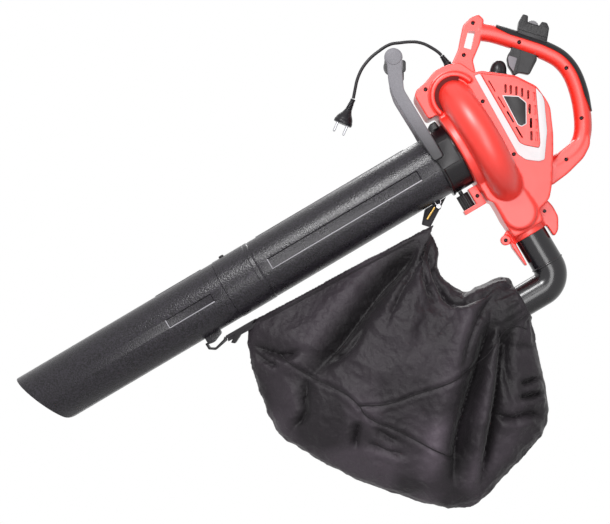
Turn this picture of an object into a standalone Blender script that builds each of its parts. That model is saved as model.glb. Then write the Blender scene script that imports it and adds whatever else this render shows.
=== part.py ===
# Electric leaf vacuum, held as in use, in metres with +Z up.
#
# Rigid pieces are drawn in the machine's own axes: u runs along the suction tube towards the
# motor, v runs across it towards the cord, and y runs from the near side to the far side. One empty
# leans those axes as the tool is held. The bag and the cord hang, so they are drawn upright.

import math

import bmesh
import bpy
from mathutils import Matrix, Vector

# The way the tool is held, and the point on the hand grip that the whole frame starts from
LEAN = math.radians(30.6)
Y_AXIS = Vector((0, 1, 0))
GRIP_U = 0.1715
GRIP_V = 0.108
GRIP_TILT = math.radians(-48.2)

# Running and seating clearances
SEAT = 0.0003
RUN = 0.0006

# Suction tubes
TUBE_RADIUS = 0.057
TUBE_WALL = 0.0028
TUBE_SIDES = 44
TUBE_TOP_END = -0.0436
SOCKET_START = -0.461
SOCKET_END = -0.535
SOCKET_WALL = 0.0019
STOP_STEP = 0.0014
NOZZLE_TIP = -0.953
NOZZLE_HEEL = -0.906
PANEL_DEPTH = 0.0015
UPPER_PANEL = (-0.442, -0.125)
UPPER_PANEL_HEIGHT = 0.023
LOWER_PANEL = (-0.657, -0.560)
LOWER_PANEL_HEIGHT = 0.019
RIB_WIDTH = 0.006
RIB_HEIGHT = 0.0010

# Collar between the tube and the fan housing, with the ledges that carry the front handle
COLLAR_FRONT = -0.087
COLLAR_BACK = -0.0433
COLLAR_WALL = 0.0042
COLLAR_LIP = 0.002
LEDGE_REACH = TUBE_RADIUS + 0.0095
COLLAR_LUG = (
    (-0.0660, TUBE_RADIUS), (-0.0650, TUBE_RADIUS + 0.0120), (-0.0590, TUBE_RADIUS + 0.0155),
    (-0.0480, TUBE_RADIUS + 0.0155), (-0.0460, TUBE_RADIUS),
)
COLLAR_LUG_HALF = 0.012
LEDGE_LOW = -0.014
LEDGE_TOP = 0.032

# Fan housing: a drum round the impeller, a front disc, a flat body and a round duct below
DRUM_FRONT = -0.028
DRUM_BACK = 0.032
DRUM_RADIUS = 0.131
DRUM_WALL = 0.004
DRUM_SIDES = 60
DISC_FRONT = -0.043
DISC_RADIUS = 0.084
BODY_HALF = 0.048
BODY_EDGE = 0.005
TAIL_HALF = 0.034
TAIL_TOP = -0.050
DUCT_U = -0.002
DUCT_RADIUS = 0.0330
DUCT_BORE = 0.0275
DUCT_END = -0.197
BARREL_TOP = -0.075
BARREL_END = -0.150
BARREL_HALF = 0.043
PARTING = 0.00015

# Body outline in (u, v), clockwise from the front lobe
BODY = (
    (-0.0600, 0.0790), (-0.0600, 0.1280), (-0.0520, 0.1365), (-0.0320, 0.1395),
    (-0.0050, 0.1500), (0.0190, 0.1480), (0.0420, 0.1400), (0.0560, 0.1100),
    (0.0680, 0.1070), (0.1167, 0.0682), (0.1403, 0.0319), (0.1432, 0.0034),
    (0.1425, -0.0140), (0.1225, -0.0585), (0.1070, -0.0860), (0.0735, -0.1385),
    (0.0580, -0.1570), (0.0310, -0.1640), (0.0290, -0.1860), (-0.0330, -0.1860),
    (-0.0360, -0.1500), (-0.0330, -0.1120), (-0.0405, -0.1040), (-0.0405, 0.0790),
)
BODY_CORNER = 0.007

# Motor, carried between the two shells
MOTOR_RADIUS = 0.042
STATOR_WALL = 0.016
STATOR_START = 0.052
STATOR_END = 0.092
MOTOR_ROOM_START = 0.044
MOTOR_ROOM_END = 0.111
SHAFT_RADIUS = 0.005
SHAFT_START = -0.018
SHAFT_END = 0.1185
FRONT_BEARING_RADIUS = 0.014
REAR_BEARING_RADIUS = 0.011
BEARING_LENGTH = 0.009
COMMUTATOR_RADIUS = 0.014
COMMUTATOR_START = 0.0945
COMMUTATOR_END = 0.1055

# Impeller
IMPELLER_RADIUS = 0.095
IMPELLER_BACK = 0.018
IMPELLER_PLATE = 0.003
HUB_RADIUS = 0.020
BLADES = 12
BLADE_THICKNESS = 0.003
BLADE_FRONT = -0.016

# Rear hand grip: centreline in (u, v) from the post round to the body
BAR_RADIUS = 0.0165
BAR_ROUTE = (
    (0.1060, 0.1752), (0.1280, 0.1568), (0.1514, 0.1312), (0.1715, 0.1080), (0.1920, 0.0832),
    (0.2095, 0.0534), (0.2145, 0.0208), (0.2080, -0.0168), (0.1952, -0.0522), (0.1785, -0.0825),
    (0.1580, -0.1010), (0.1330, -0.1080), (0.1000, -0.1080),
)
BAR_SPACING = 0.014
OVERMOULD_ROUTE = BAR_ROUTE[2:8]
OVERMOULD_WALL = 0.0022
OVERMOULD_EDGE = 0.0025
DIAL_ROUTE = BAR_ROUTE[1:6]
D_CENTRE = (0.120, 0.020)

# Web that carries the grip's lower end into the body, in (u, v)
GRIP_FOOT = (
    (0.1870, -0.0900), (0.1765, -0.1105), (0.1540, -0.1250), (0.1130, -0.1355), (0.0740, -0.1395),
    (0.0740, -0.1100), (0.1200, -0.0930), (0.1500, -0.0880),
)
GRIP_FOOT_HALF = 0.0155

# Front post with its strap slot
POST = (
    (0.1045, 0.2035), (0.0865, 0.1985), (0.0570, 0.1655), (0.0340, 0.1490), (0.0100, 0.1300),
    (0.0580, 0.0980), (0.0690, 0.1330), (0.0960, 0.1530), (0.1250, 0.1880), (0.1210, 0.2010),
)
POST_HALF = 0.0155
STRAP_SLOT = ((0.0895, 0.1852), (0.1004, 0.1772), (0.0764, 0.1515), (0.0662, 0.1620))

# White trim and the slotted vent cover, in (u, v)
TRIM_OUTER = (
    (0.0522, 0.1052), (0.0476, -0.0576), (0.0551, -0.0734), (0.0744, -0.0884),
    (0.0845, -0.0908), (0.1149, -0.0487), (0.1384, 0.0009), (0.1405, 0.0124),
)
TRIM_INNER = (
    (0.1372, 0.0297), (0.0929, -0.0614), (0.0866, -0.0676), (0.0669, -0.0504),
    (0.0611, -0.0413), (0.0630, 0.1031),
)
COVER_TOP = ((0.0636, 0.1031), (0.1145, 0.0660), (0.1358, 0.0330))
COVER_FLOOR = BODY_HALF - 0.003
TRIM_PROUD = 0.0010
COVER_PROUD = 0.0030
WINDOW = ((0.0700, 0.0900), (0.1080, 0.0610), (0.1270, 0.0290), (0.0885, -0.0540), (0.0690, -0.0370))
WINDOW_DEPTH = BODY_HALF - 0.018
SLOT_LEAN = math.radians(59.4)
TOP_SLOTS = ((0.0887, 0.0561), (0.0959, 0.0498), (0.1035, 0.0426), (0.1111, 0.0347),
             (0.1184, 0.0257), (0.1253, 0.0175))
REAR_SLOTS = ((0.1074, 0.0019), (0.1149, -0.0047), (0.0967, -0.0213), (0.1039, -0.0276),
              (0.0853, -0.0419), (0.0929, -0.0477))
SIDE_SLOTS = ((0.0692, 0.0726), (0.0691, 0.0389), (0.0699, 0.0075), (0.0694, -0.0250))
TOP_SLOT_LENGTH = 0.016
REAR_SLOT_LENGTH = 0.018
SIDE_SLOT_LENGTH = 0.023
SLOT_WIDTH = 0.0044
SIDE_SLOT_WIDTH = 0.0034
BADGE = (
    (0.0769, 0.0489), (0.1023, 0.0322), (0.1085, 0.0150), (0.0889, -0.0189), (0.0782, -0.0185),
    (0.0738, -0.0120),
)
BADGE_THICKNESS = 0.0012

# Screws that clamp the shells, entering from the near side: (u, v, face)
SCREW_HEAD_RADIUS = 0.0035
SCREW_SINK = 0.004
BODY_SCREWS = ((0.0356, 0.0574), (0.0357, -0.0541), (-0.0365, 0.1288))
BAR_SCREWS = ((0.1592, 0.1187), (0.2099, 0.0336), (0.1869, -0.0598), (0.1240, -0.1110))
POST_SCREWS = ((0.1040, 0.1925), (0.0594, 0.1502))
EAR_SCREW = (-0.0468, -0.1829)
EAR_RADIUS = 0.0095
EAR_HALF = 0.009
EAR_WEB = ((-0.0460, -0.1905), (-0.0300, -0.1965), (-0.0300, -0.1650), (-0.0460, -0.1735))
EAR_WEB_HALF = 0.007
WING_SCREW = (0.0390, -0.1720)
WING_FACE = 0.0375
WING_HALF = 0.012
WING = (
    (0.0200, -0.1500), (0.0560, -0.1550), (0.0600, -0.1720), (0.0590, -0.1940), (0.0460, -0.2160),
    (0.0330, -0.2230), (0.0318, -0.1980), (0.0250, -0.1900),
)
SKIRT = (
    (-0.0410, -0.1880), (-0.0345, -0.1980), (-0.0362, -0.2420), (-0.0400, -0.2420), (-0.0440, -0.2000),
)
SKIRT_HALF = 0.014

# Outlet pipe
SLEEVE_RADIUS = 0.030
SLEEVE_FLARE = 0.0015
SLEEVE_END = -0.260
SLEEVE_SPIGOT_TOP = -0.172
PIPE_BORE = 0.0252
PIPE_SOCKET = 0.0285
PIPE_SOCKET_DEPTH = 0.025
ELBOW_RADIUS = 0.030
BEND_RADIUS = 0.033
LEG_END = -0.112
BAG_COLLAR_RADIUS = 0.0335
BAG_MOUTH = -0.0775
BAG_MOUTH_RADIUS = 0.038

# Front handle
ARM_INNER = TUBE_RADIUS + 0.0048
ARM_THICKNESS = 0.008
ARM_FOOT = ((-0.0912, 0.0070), (-0.0712, 0.0070))
ARM_BACK = ((-0.0714, 0.0712), (-0.0722, 0.1470), (-0.0560, 0.1800), (-0.0455, 0.1960))
ARM_FRONT = ((-0.0700, 0.2140), (-0.0905, 0.1700), (-0.0955, 0.1470), (-0.0942, 0.0773))
FAR_ARM_INSET = 0.005
CROSS_U = -0.0588
CROSS_V = 0.2067
EYE_RADIUS = 0.0165
CROSS_RADIUS = 0.0155

# Lock knob under the collar, on its bracket
KNOB_U = -0.0735
KNOB_RADIUS = 0.0120
KNOB_TOP = -TUBE_RADIUS - 0.0120
KNOB_RIBS = 12
KNOB_GROOVE = 0.0014
BRACKET_TOP = -TUBE_RADIUS - 0.0095
BRACKET_FLOOR = -TUBE_RADIUS - 0.0405
BRACKET_BASE = -TUBE_RADIUS - 0.0485
BRACKET_FRONT = -0.087
BRACKET_WALL = -0.0600
BRACKET_HALF = 0.017
BRACKET_SCREW = (-0.0510, -TUBE_RADIUS - 0.0285)

# Trigger in the hand grip, in (along the bar, into the finger gap)
TRIGGER = (
    (-0.0260, 0.0050), (0.0100, 0.0040), (0.0225, 0.0050), (0.0225, 0.0150), (0.0256, 0.0215),
    (0.0205, 0.0520), (0.0010, 0.0540), (-0.0065, 0.0630), (-0.0145, 0.0545), (-0.0220, 0.0490),
    (-0.0285, 0.0360), (-0.0282, 0.0260), (-0.0260, 0.0205),
)
TRIGGER_HALF = 0.0080
TRIGGER_PIVOT = (0.0180, 0.0100)
TRIGGER_POCKET = ((-0.0290, 0.0300), (0.0262, 0.0300), (0.0262, -0.0010), (-0.0290, -0.0010))
TRIGGER_PIN_RADIUS = 0.0020
TRIGGER_PIN_HALF = 0.0115
SWITCH_FRONT = -0.0200
SWITCH_BACK = 0.0000
SWITCH_TOP = -0.0013
SWITCH_DEPTH = -0.0115
SWITCH_HALF = 0.0070

# Speed dial on top of the grip, in the same directions as the trigger
DIAL_CENTRE = (-0.0010, -0.0340)
DIAL_RADIUS = 0.0120
DIAL_HALF = 0.0050
DIAL_NOTCHES = 18
DIAL_PIN_RADIUS = 0.0018
DIAL_PIN_HALF = 0.0105
DIAL_HOUSING_HALF = 0.0130
DIAL_HOUSING = (
    (-0.0240, -0.0120), (-0.0280, -0.0360), (-0.0250, -0.0500), (-0.0150, -0.0500),
    (-0.0120, -0.0385), (0.0100, -0.0385), (0.0120, -0.0470), (0.0220, -0.0480),
    (0.0290, -0.0400), (0.0330, -0.0120),
)

# Selector knob on top of the motor casing
SELECTOR_U = 0.0948
SELECTOR_V = 0.0856
SELECTOR_LEAN = math.radians(51.5)
SELECTOR_FOOT = 0.007
SELECTOR_RADIUS = 0.0155
SELECTOR_HEIGHT = 0.030

# Latch button between the two tubes
LATCH_U = -0.5150
LATCH_RADIUS = 0.005
LATCH_PROUD = 0.0035
LATCH_FLANGE = 0.0075

# Hook, straps and buckles that carry the bag, in (u, v)
LUG_ROOT = -TUBE_RADIUS + 0.006
FRONT_LUG = (
    (-0.6170, LUG_ROOT), (-0.6170, -TUBE_RADIUS - 0.0120), (-0.6050, -TUBE_RADIUS - 0.0140),
    (-0.5850, -TUBE_RADIUS - 0.0060), (-0.5850, LUG_ROOT),
)
FRONT_LUG_HALF = 0.008
FRONT_HOOK = (
    (-0.5840, -TUBE_RADIUS - 0.0140), (-0.5830, -TUBE_RADIUS - 0.0230), (-0.6100, -TUBE_RADIUS - 0.0280),
    (-0.6215, -TUBE_RADIUS - 0.0200), (-0.6215, -TUBE_RADIUS - 0.0080), (-0.6173, -TUBE_RADIUS - 0.0080),
    (-0.6173, -TUBE_RADIUS - 0.0185), (-0.6090, -TUBE_RADIUS - 0.0235), (-0.5880, -TUBE_RADIUS - 0.0180),
)
REAR_LUG = (
    (-0.1300, LUG_ROOT), (-0.1280, -TUBE_RADIUS - 0.0100), (-0.1215, -TUBE_RADIUS - 0.0160),
    (-0.1150, -TUBE_RADIUS - 0.0100), (-0.1130, LUG_ROOT),
)
REAR_LUG_DEPTH = 0.006
REAR_PIN = (-0.1215, -TUBE_RADIUS - 0.0085)
REAR_PIN_RADIUS = 0.0020
REAR_PIN_HEAD = 0.0048
REAR_PIN_HEAD_LENGTH = 0.0025
STRAP_HALF = 0.010
WEBBING = 0.003

# Cord, plug and bag, drawn upright: (x, z) from the middle of the hand grip
CORD_RADIUS = 0.0030
CORD_SPACING = 0.0075
CORD_ROUTE = (
    (-0.1583, 0.0, -0.0191), (-0.1632, 0.0, -0.0142), (-0.1700, 0.0, -0.0092), (-0.1800, 0.0, -0.0032),
    (-0.1900, 0.0, 0.0018), (-0.2040, 0.0, 0.0054), (-0.2200, 0.0, 0.0056), (-0.2370, 0.0, 0.0038),
    (-0.2490, 0.0, 0.0024),
    (-0.2600, 0.0, -0.0020), (-0.2730, 0.0, -0.0105), (-0.2900, 0.0, -0.0245),
    (-0.3050, 0.0, -0.0435), (-0.3140, 0.0, -0.0640), (-0.3180, 0.0, -0.0820), (-0.3213, 0.0, -0.0990),
)
BOOT_BASE = (0.0281, 0.1380)
BOOT_TIP = (0.0256, 0.1711)
BOOT_RADIUS = 0.0068
BOOT_TIP_RADIUS = 0.0046
PLUG_START = (-0.3216, -0.1005)
PLUG_LEAN = math.radians(23.6)
PLUG_RELIEF = 0.024
PLUG_LENGTH = 0.050
PLUG_RADIUS = 0.0175
PIN_RADIUS = 0.0024
PIN_LENGTH = 0.019
PIN_SPACING = 0.019
PIN_ROOT = 0.004

BAG_CENTRE = (-0.235, -0.600)
BAG_HALF = 0.080
BAG_RINGS = 18
BAG_APEX = (-0.190, -0.334)
FOLDS = 9
FOLD_DEPTH = 0.0045
BAG_OUTLINE = (
    (-0.498, -0.505), (-0.518, -0.536), (-0.514, -0.568), (-0.501, -0.610), (-0.479, -0.666),
    (-0.463, -0.718), (-0.431, -0.742), (-0.337, -0.792), (-0.226, -0.836), (-0.155, -0.851),
    (-0.117, -0.855), (-0.080, -0.840), (-0.037, -0.797), (0.011, -0.742), (0.033, -0.707),
    (0.037, -0.670), (0.031, -0.610), (0.022, -0.564), (0.010, -0.508), (-0.002, -0.478),
    (-0.030, -0.433), (-0.046, -0.429), (-0.076, -0.438), (-0.118, -0.457), (-0.139, -0.446),
    (-0.165, -0.414), (-0.163, -0.383), (-0.183, -0.340), (-0.196, -0.335), (-0.346, -0.418),
)
REAR_STRAP_TOP = ((-0.1465, -TUBE_RADIUS - 0.0006), (-0.1000, -TUBE_RADIUS - 0.0006))
REAR_STRAP_FOOT = ((-0.1790, -0.3375), (-0.1950, -0.3325))
FRONT_STRAP = (
    (-0.5567, -0.5374), (-0.5552, -0.5434), (-0.5110, -0.5195), (-0.5020, -0.5060), (-0.5110, -0.5110),
)
SLIDER = ((-0.5375, -0.5345), (-0.5255, -0.5290), (-0.5380, -0.5485), (-0.5440, -0.5475))


def clear_scene():
    for obj in list(bpy.data.objects):
        bpy.data.objects.remove(obj, do_unlink=True)


def collection(name, hidden=False):
    made = bpy.data.collections.new(name)
    bpy.context.scene.collection.children.link(made)
    made.hide_render = hidden
    return made


clear_scene()
PARTS = collection("electric_leaf_vacuum")
CUTTERS = collection("cutters", hidden=True)


def loose(name, data):
    """A working object among the cutters, until it becomes a node."""
    obj = bpy.data.objects.new(name, data)
    CUTTERS.objects.link(obj)
    obj.hide_render = True
    obj.display_type = "WIRE"
    return obj


def settle(obj):
    """Replaces the object by its own evaluated mesh."""
    bpy.context.view_layer.update()
    graph = bpy.context.evaluated_depsgraph_get()
    mesh = bpy.data.meshes.new_from_object(obj.evaluated_get(graph))
    if obj.type == "CURVE":
        made = loose(obj.name, mesh)
        made.matrix_world = obj.matrix_world
        bpy.data.objects.remove(obj, do_unlink=True)
        obj = made
    else:
        obj.modifiers.clear()
        obj.data = mesh
    obj.data.transform(obj.matrix_world)
    obj.matrix_world = Matrix()
    return obj


def tidy(obj, dissolve=False):
    """Welds a mesh, turns its faces outward and can merge the triangles of flat faces."""
    work = bmesh.new()
    work.from_mesh(obj.data)
    bmesh.ops.remove_doubles(work, verts=work.verts, dist=0.000001)
    if dissolve:
        bmesh.ops.dissolve_limit(work, angle_limit=math.radians(0.5), verts=work.verts, edges=work.edges)
    bmesh.ops.recalc_face_normals(work, faces=work.faces)
    work.to_mesh(obj.data)
    work.free()
    return obj


def rounded(points, radius, steps=2):
    """The outline with each corner replaced by a short arc, as far as its sides allow."""
    made = []
    count = len(points)
    for i in range(count):
        before, here, after = (Vector(points[(i + j) % count]) for j in (-1, 0, 1))
        back = before - here
        ahead = after - here
        reach = min(radius, back.length * 0.4, ahead.length * 0.4)
        start = here + back.normalized() * reach
        end = here + ahead.normalized() * reach
        for k in range(steps + 1):
            t = k / steps
            made.append(tuple(start.lerp(here, t).lerp(here.lerp(end, t), t)))
    return made


def offset(points, distance):
    """The outline moved outward by a distance, or inward if it is negative."""
    count = len(points)
    area = sum(points[i][0] * points[(i + 1) % count][1] - points[(i + 1) % count][0] * points[i][1]
               for i in range(count))
    side = 1 if area > 0 else -1
    made = []
    for i in range(count):
        before, here, after = (Vector(points[(i + j) % count]) for j in (-1, 0, 1))
        first = (here - before).normalized()
        second = (after - here).normalized()
        normal_a = Vector((first.y, -first.x)) * side
        normal_b = Vector((second.y, -second.x)) * side
        middle = (normal_a + normal_b).normalized()
        made.append(tuple(here + middle * (distance / max(0.35, middle.dot(normal_a)))))
    return made


FACINGS = {
    "y": Matrix(((1, 0, 0, 0), (0, 0, -1, 0), (0, 1, 0, 0), (0, 0, 0, 1))),
    "u": Matrix(((0, 0, 1, 0), (1, 0, 0, 0), (0, 1, 0, 0), (0, 0, 0, 1))),
    "v": Matrix(),
}


def plate(outline, low, high, across="y", edge=0.0):
    """A flat outline thickened from low to high across one axis, with its rims rounded by edge."""
    curve = bpy.data.curves.new("outline", "CURVE")
    curve.dimensions = "2D"
    curve.fill_mode = "BOTH"
    curve.extrude = (high - low) / 2
    spline = curve.splines.new("POLY")
    spline.points.add(len(outline) - 1)
    for point, (a, b) in zip(spline.points, outline):
        point.co = (a, b, 0, 1)
    spline.use_cyclic_u = True
    obj = loose("plate", curve)
    shift = {"y": (0, (high + low) / 2, 0), "u": ((high + low) / 2, 0, 0), "v": (0, 0, (high + low) / 2)}
    obj.matrix_world = Matrix.Translation(shift[across]) @ FACINGS[across]
    obj = tidy(settle(obj), dissolve=True)
    if edge:
        soften(obj, edge)
    return obj


def soften(obj, width, segments=2, angle=50):
    bevel = obj.modifiers.new("rounded edges", "BEVEL")
    bevel.width = width
    bevel.segments = segments
    bevel.limit_method = "ANGLE"
    bevel.angle_limit = math.radians(angle)
    return tidy(settle(obj))


def turned(profile, base=(0, 0, 0), towards=(1, 0, 0), sides=32, ring=False):
    """A profile of (distance along the axis, radius), turned about the axis from base."""
    mesh = bpy.data.meshes.new("profile")
    edges = [(i, i + 1) for i in range(len(profile) - 1)]
    if ring:
        edges.append((len(profile) - 1, 0))
    mesh.from_pydata([(radius, 0, along) for along, radius in profile], edges, [])
    obj = loose("turned", mesh)
    screw = obj.modifiers.new("turn", "SCREW")
    screw.axis = "Z"
    screw.steps = sides
    screw.render_steps = sides
    screw.use_merge_vertices = True
    screw.merge_threshold = 0.00001
    settle(obj)
    facing = Vector(towards).to_track_quat("Z", "Y").to_matrix().to_4x4()
    obj.data.transform(Matrix.Translation(base) @ facing)
    return tidy(obj)


def rod(start, end, radius, sides=16, end_radius=None):
    """A straight round bar, or a taper, between two points."""
    start = Vector(start)
    end = Vector(end)
    mesh = bpy.data.meshes.new("rod")
    work = bmesh.new()
    far = radius if end_radius is None else end_radius
    bmesh.ops.create_cone(work, cap_ends=True, segments=sides, radius1=radius, radius2=far,
                          depth=(end - start).length)
    work.to_mesh(mesh)
    work.free()
    facing = (end - start).to_track_quat("Z", "Y").to_matrix().to_4x4()
    mesh.transform(Matrix.Translation((start + end) / 2) @ facing)
    return loose("rod", mesh)


def box(low, high, edge=0.0):
    mesh = bpy.data.meshes.new("box")
    work = bmesh.new()
    bmesh.ops.create_cube(work, size=1.0)
    work.to_mesh(mesh)
    work.free()
    size = Vector(high) - Vector(low)
    middle = (Vector(high) + Vector(low)) / 2
    mesh.transform(Matrix.Translation(middle) @ Matrix.Diagonal((*size, 1)))
    obj = loose("box", mesh)
    if edge:
        soften(obj, edge, segments=1)
    return obj


def tube(points, radius, resolution=2, closed=False):
    """A round bar that follows the points, with filled ends."""
    curve = bpy.data.curves.new("route", "CURVE")
    curve.dimensions = "3D"
    curve.bevel_depth = radius
    curve.bevel_resolution = resolution
    curve.use_fill_caps = True
    curve.twist_mode = "MINIMUM"
    spline = curve.splines.new("POLY")
    spline.points.add(len(points) - 1)
    for point, place in zip(spline.points, points):
        point.co = (*place, 1)
    spline.use_cyclic_u = closed
    return tidy(settle(loose("tube", curve)))


def smooth_route(points, spacing):
    """Points read at an even spacing from the smooth curve through the given ones."""
    points = [Vector(p) for p in points]
    ends = [points[0] * 2 - points[1], *points, points[-1] * 2 - points[-2]]
    fine = []
    for a, b, c, d in zip(ends, ends[1:], ends[2:], ends[3:]):
        for k in range(24):
            t = k / 24
            fine.append(0.5 * (2 * b + (c - a) * t + (2 * a - 5 * b + 4 * c - d) * t * t
                               + (3 * b - a - 3 * c + d) * t ** 3))
    fine.append(points[-1])
    total = sum((q - p).length for p, q in zip(fine, fine[1:]))
    count = max(2, round(total / spacing))
    made = [fine[0]]
    run = 0.0
    for p, q in zip(fine, fine[1:]):
        step = (q - p).length
        while len(made) < count and run + step >= total * len(made) / count:
            made.append(p.lerp(q, (total * len(made) / count - run) / step))
        run += step
    made.append(fine[-1])
    return made


def combine(obj, others, operation):
    for other in others:
        modifier = obj.modifiers.new(operation.lower(), "BOOLEAN")
        modifier.operation = operation
        modifier.solver = "EXACT"
        modifier.object = other
        settle(obj)
    for other in others:
        bpy.data.objects.remove(other, do_unlink=True)
    return tidy(obj)


def join(obj, *others):
    return combine(obj, others, "UNION")


def cut(obj, *others):
    return combine(obj, others, "DIFFERENCE")


def keep(obj, *others):
    return combine(obj, others, "INTERSECT")


def copy(obj):
    return loose(obj.name, obj.data.copy())


def empty(name, parent=None, location=(0, 0, 0), lean=0.0):
    made = bpy.data.objects.new(name, None)
    PARTS.objects.link(made)
    made.parent = parent
    made.location = location
    made.rotation_euler = (0, lean, 0)
    return made


MATERIALS = {}


def material(name, colour, roughness, metallic=0.0):
    if name not in MATERIALS:
        made = bpy.data.materials.new(name)
        made.use_nodes = True
        shader = made.node_tree.nodes["Principled BSDF"]
        shader.inputs["Base Color"].default_value = (*colour, 1)
        shader.inputs["Roughness"].default_value = roughness
        shader.inputs["Metallic"].default_value = metallic
        MATERIALS[name] = made
    return MATERIALS[name]


RED = ("red plastic", (0.80, 0.030, 0.022), 0.32)
WHITE = ("white plastic", (0.82, 0.80, 0.80), 0.35)
BLACK = ("black plastic", (0.035, 0.033, 0.037), 0.55)
TUBE_BLACK = ("grained black plastic", (0.042, 0.040, 0.045), 0.62)
PIPE_BLACK = ("satin black pipe", (0.030, 0.029, 0.034), 0.30)
GREY = ("grey plastic", (0.19, 0.185, 0.20), 0.5)
SOFT = ("soft grip", (0.022, 0.021, 0.024), 0.8)
CLOTH = ("bag cloth", (0.030, 0.027, 0.031), 0.9)
STEEL = ("steel", (0.56, 0.56, 0.58), 0.3, 1.0)
COPPER = ("copper", (0.62, 0.30, 0.16), 0.35, 1.0)

HELD = empty("held_tool", lean=-LEAN)
MACHINE = empty("machine_axes", HELD, (-GRIP_U, 0, -GRIP_V))
UPRIGHT = empty("hanging_things")


def node(name, obj, finish, carrier=MACHINE, pivot=None, crease=38):
    """Turns a finished shape into a named part, with its origin on its joint where it moves."""
    obj.name = name
    obj.data.name = name
    CUTTERS.objects.unlink(obj)
    PARTS.objects.link(obj)
    obj.hide_render = False
    obj.display_type = "TEXTURED"
    if pivot is not None:
        obj.data.transform(Matrix.Translation(-Vector(pivot)))
        carrier = empty(name + "_pivot", carrier, pivot)
    obj.parent = carrier
    obj.data.materials.clear()
    obj.data.materials.append(material(*finish))
    obj.data.shade_smooth()
    obj.data.set_sharp_from_angle(angle=math.radians(crease))
    return obj


def on_grip(along, into):
    """(u, v) of a point given along the hand grip's bar and into the finger gap."""
    c = math.cos(GRIP_TILT)
    s = math.sin(GRIP_TILT)
    return (GRIP_U + along * c + into * s, GRIP_V + along * s - into * c)


def at(u, v, y=0.0):
    return (u, y, v)


def bar(route=BAR_ROUTE, radius=BAR_RADIUS):
    """A stretch of the hand grip's round bar."""
    points = [at(u, v) for u, v in route]
    return tube(smooth_route(points, BAR_SPACING), radius, 4)


def sides(inner, outer):
    """The near and the far span of y for a piece that sits on both sides."""
    return ("near", -outer, -inner), ("far", inner, outer)


# Housing: one solid is built up, bored for the fan, motor and duct, and parted along the middle

def drum_profile(front, back, radius, steps=8):
    """The rounded rim of the fan drum: a half circle as wide as the drum."""
    half = (back - front) / 2
    middle = (back + front) / 2
    angles = [math.pi * k / steps for k in range(steps + 1)]
    return [(middle - half * math.cos(a), radius - half + half * math.sin(a)) for a in angles]


def ridge(side):
    """The raised arc that frames the upper end of the drum."""
    middle = (DRUM_FRONT + DRUM_BACK) / 2
    centre_v = math.sqrt(DRUM_RADIUS ** 2 - BODY_HALF ** 2) - (DRUM_BACK - DRUM_FRONT) / 2
    reach = (DRUM_BACK - DRUM_FRONT) / 2 + 0.009
    points = [at(middle + reach * math.cos(a), centre_v + reach * math.sin(a), side * (BODY_HALF - 0.0005))
              for a in (math.radians(d) for d in range(-5, 206, 15))]
    return tube(points, 0.0026, 1)


def housing_solid():
    body = plate(rounded(BODY, BODY_CORNER), -BODY_HALF, BODY_HALF)
    reach = BODY_HALF + 0.03
    slope = (BODY_HALF - TAIL_HALF) / (DUCT_END - TAIL_TOP)
    low_v = DUCT_END - 0.02
    low_half = TAIL_HALF - slope * -0.02
    for side in (-1, 1):
        wedge = [(side * (BODY_HALF + 0.0004), TAIL_TOP), (side * reach, TAIL_TOP),
                 (side * reach, low_v), (side * low_half, low_v)]
        body = cut(body, plate(wedge, -0.1, 0.2, "u"))
    soften(body, BODY_EDGE)
    rim = drum_profile(DRUM_FRONT, DRUM_BACK, DRUM_RADIUS)
    drum = turned([(DISC_FRONT, 0), (DISC_FRONT, DISC_RADIUS - 0.003), (DISC_FRONT + 0.003, DISC_RADIUS),
                   (DRUM_FRONT, DISC_RADIUS), *rim, (DRUM_BACK, 0)], sides=DRUM_SIDES)
    barrel_outline = [(DUCT_U - DUCT_RADIUS * math.cos(a), BARREL_END - DUCT_RADIUS * math.sin(a))
                      for a in (math.pi * k / 10 for k in range(11))]
    barrel_outline += [(DUCT_U + DUCT_RADIUS, BARREL_TOP), (DUCT_U - DUCT_RADIUS, BARREL_TOP)]
    barrel = plate(barrel_outline, -BARREL_HALF, BARREL_HALF, edge=0.007)
    neck = rod(at(DUCT_U, BARREL_END), at(DUCT_U, DUCT_END), DUCT_RADIUS, 28)
    post = plate(rounded(POST, 0.006), -POST_HALF, POST_HALF, edge=0.004)
    foot = plate(rounded(GRIP_FOOT, 0.008), -GRIP_FOOT_HALF, GRIP_FOOT_HALF, edge=0.004)
    ear = rod(at(*EAR_SCREW, -EAR_HALF), at(*EAR_SCREW, EAR_HALF), EAR_RADIUS, 16)
    web = plate(EAR_WEB, -EAR_WEB_HALF, EAR_WEB_HALF)
    wing = plate(rounded(WING, 0.006), -WING_HALF, WING_HALF, edge=0.002)
    skirt = plate(SKIRT, -SKIRT_HALF, SKIRT_HALF, edge=0.0008)
    return join(body, drum, barrel, neck, post, bar(), foot, ear, web, wing, skirt, ridge(-1), ridge(1))


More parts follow.
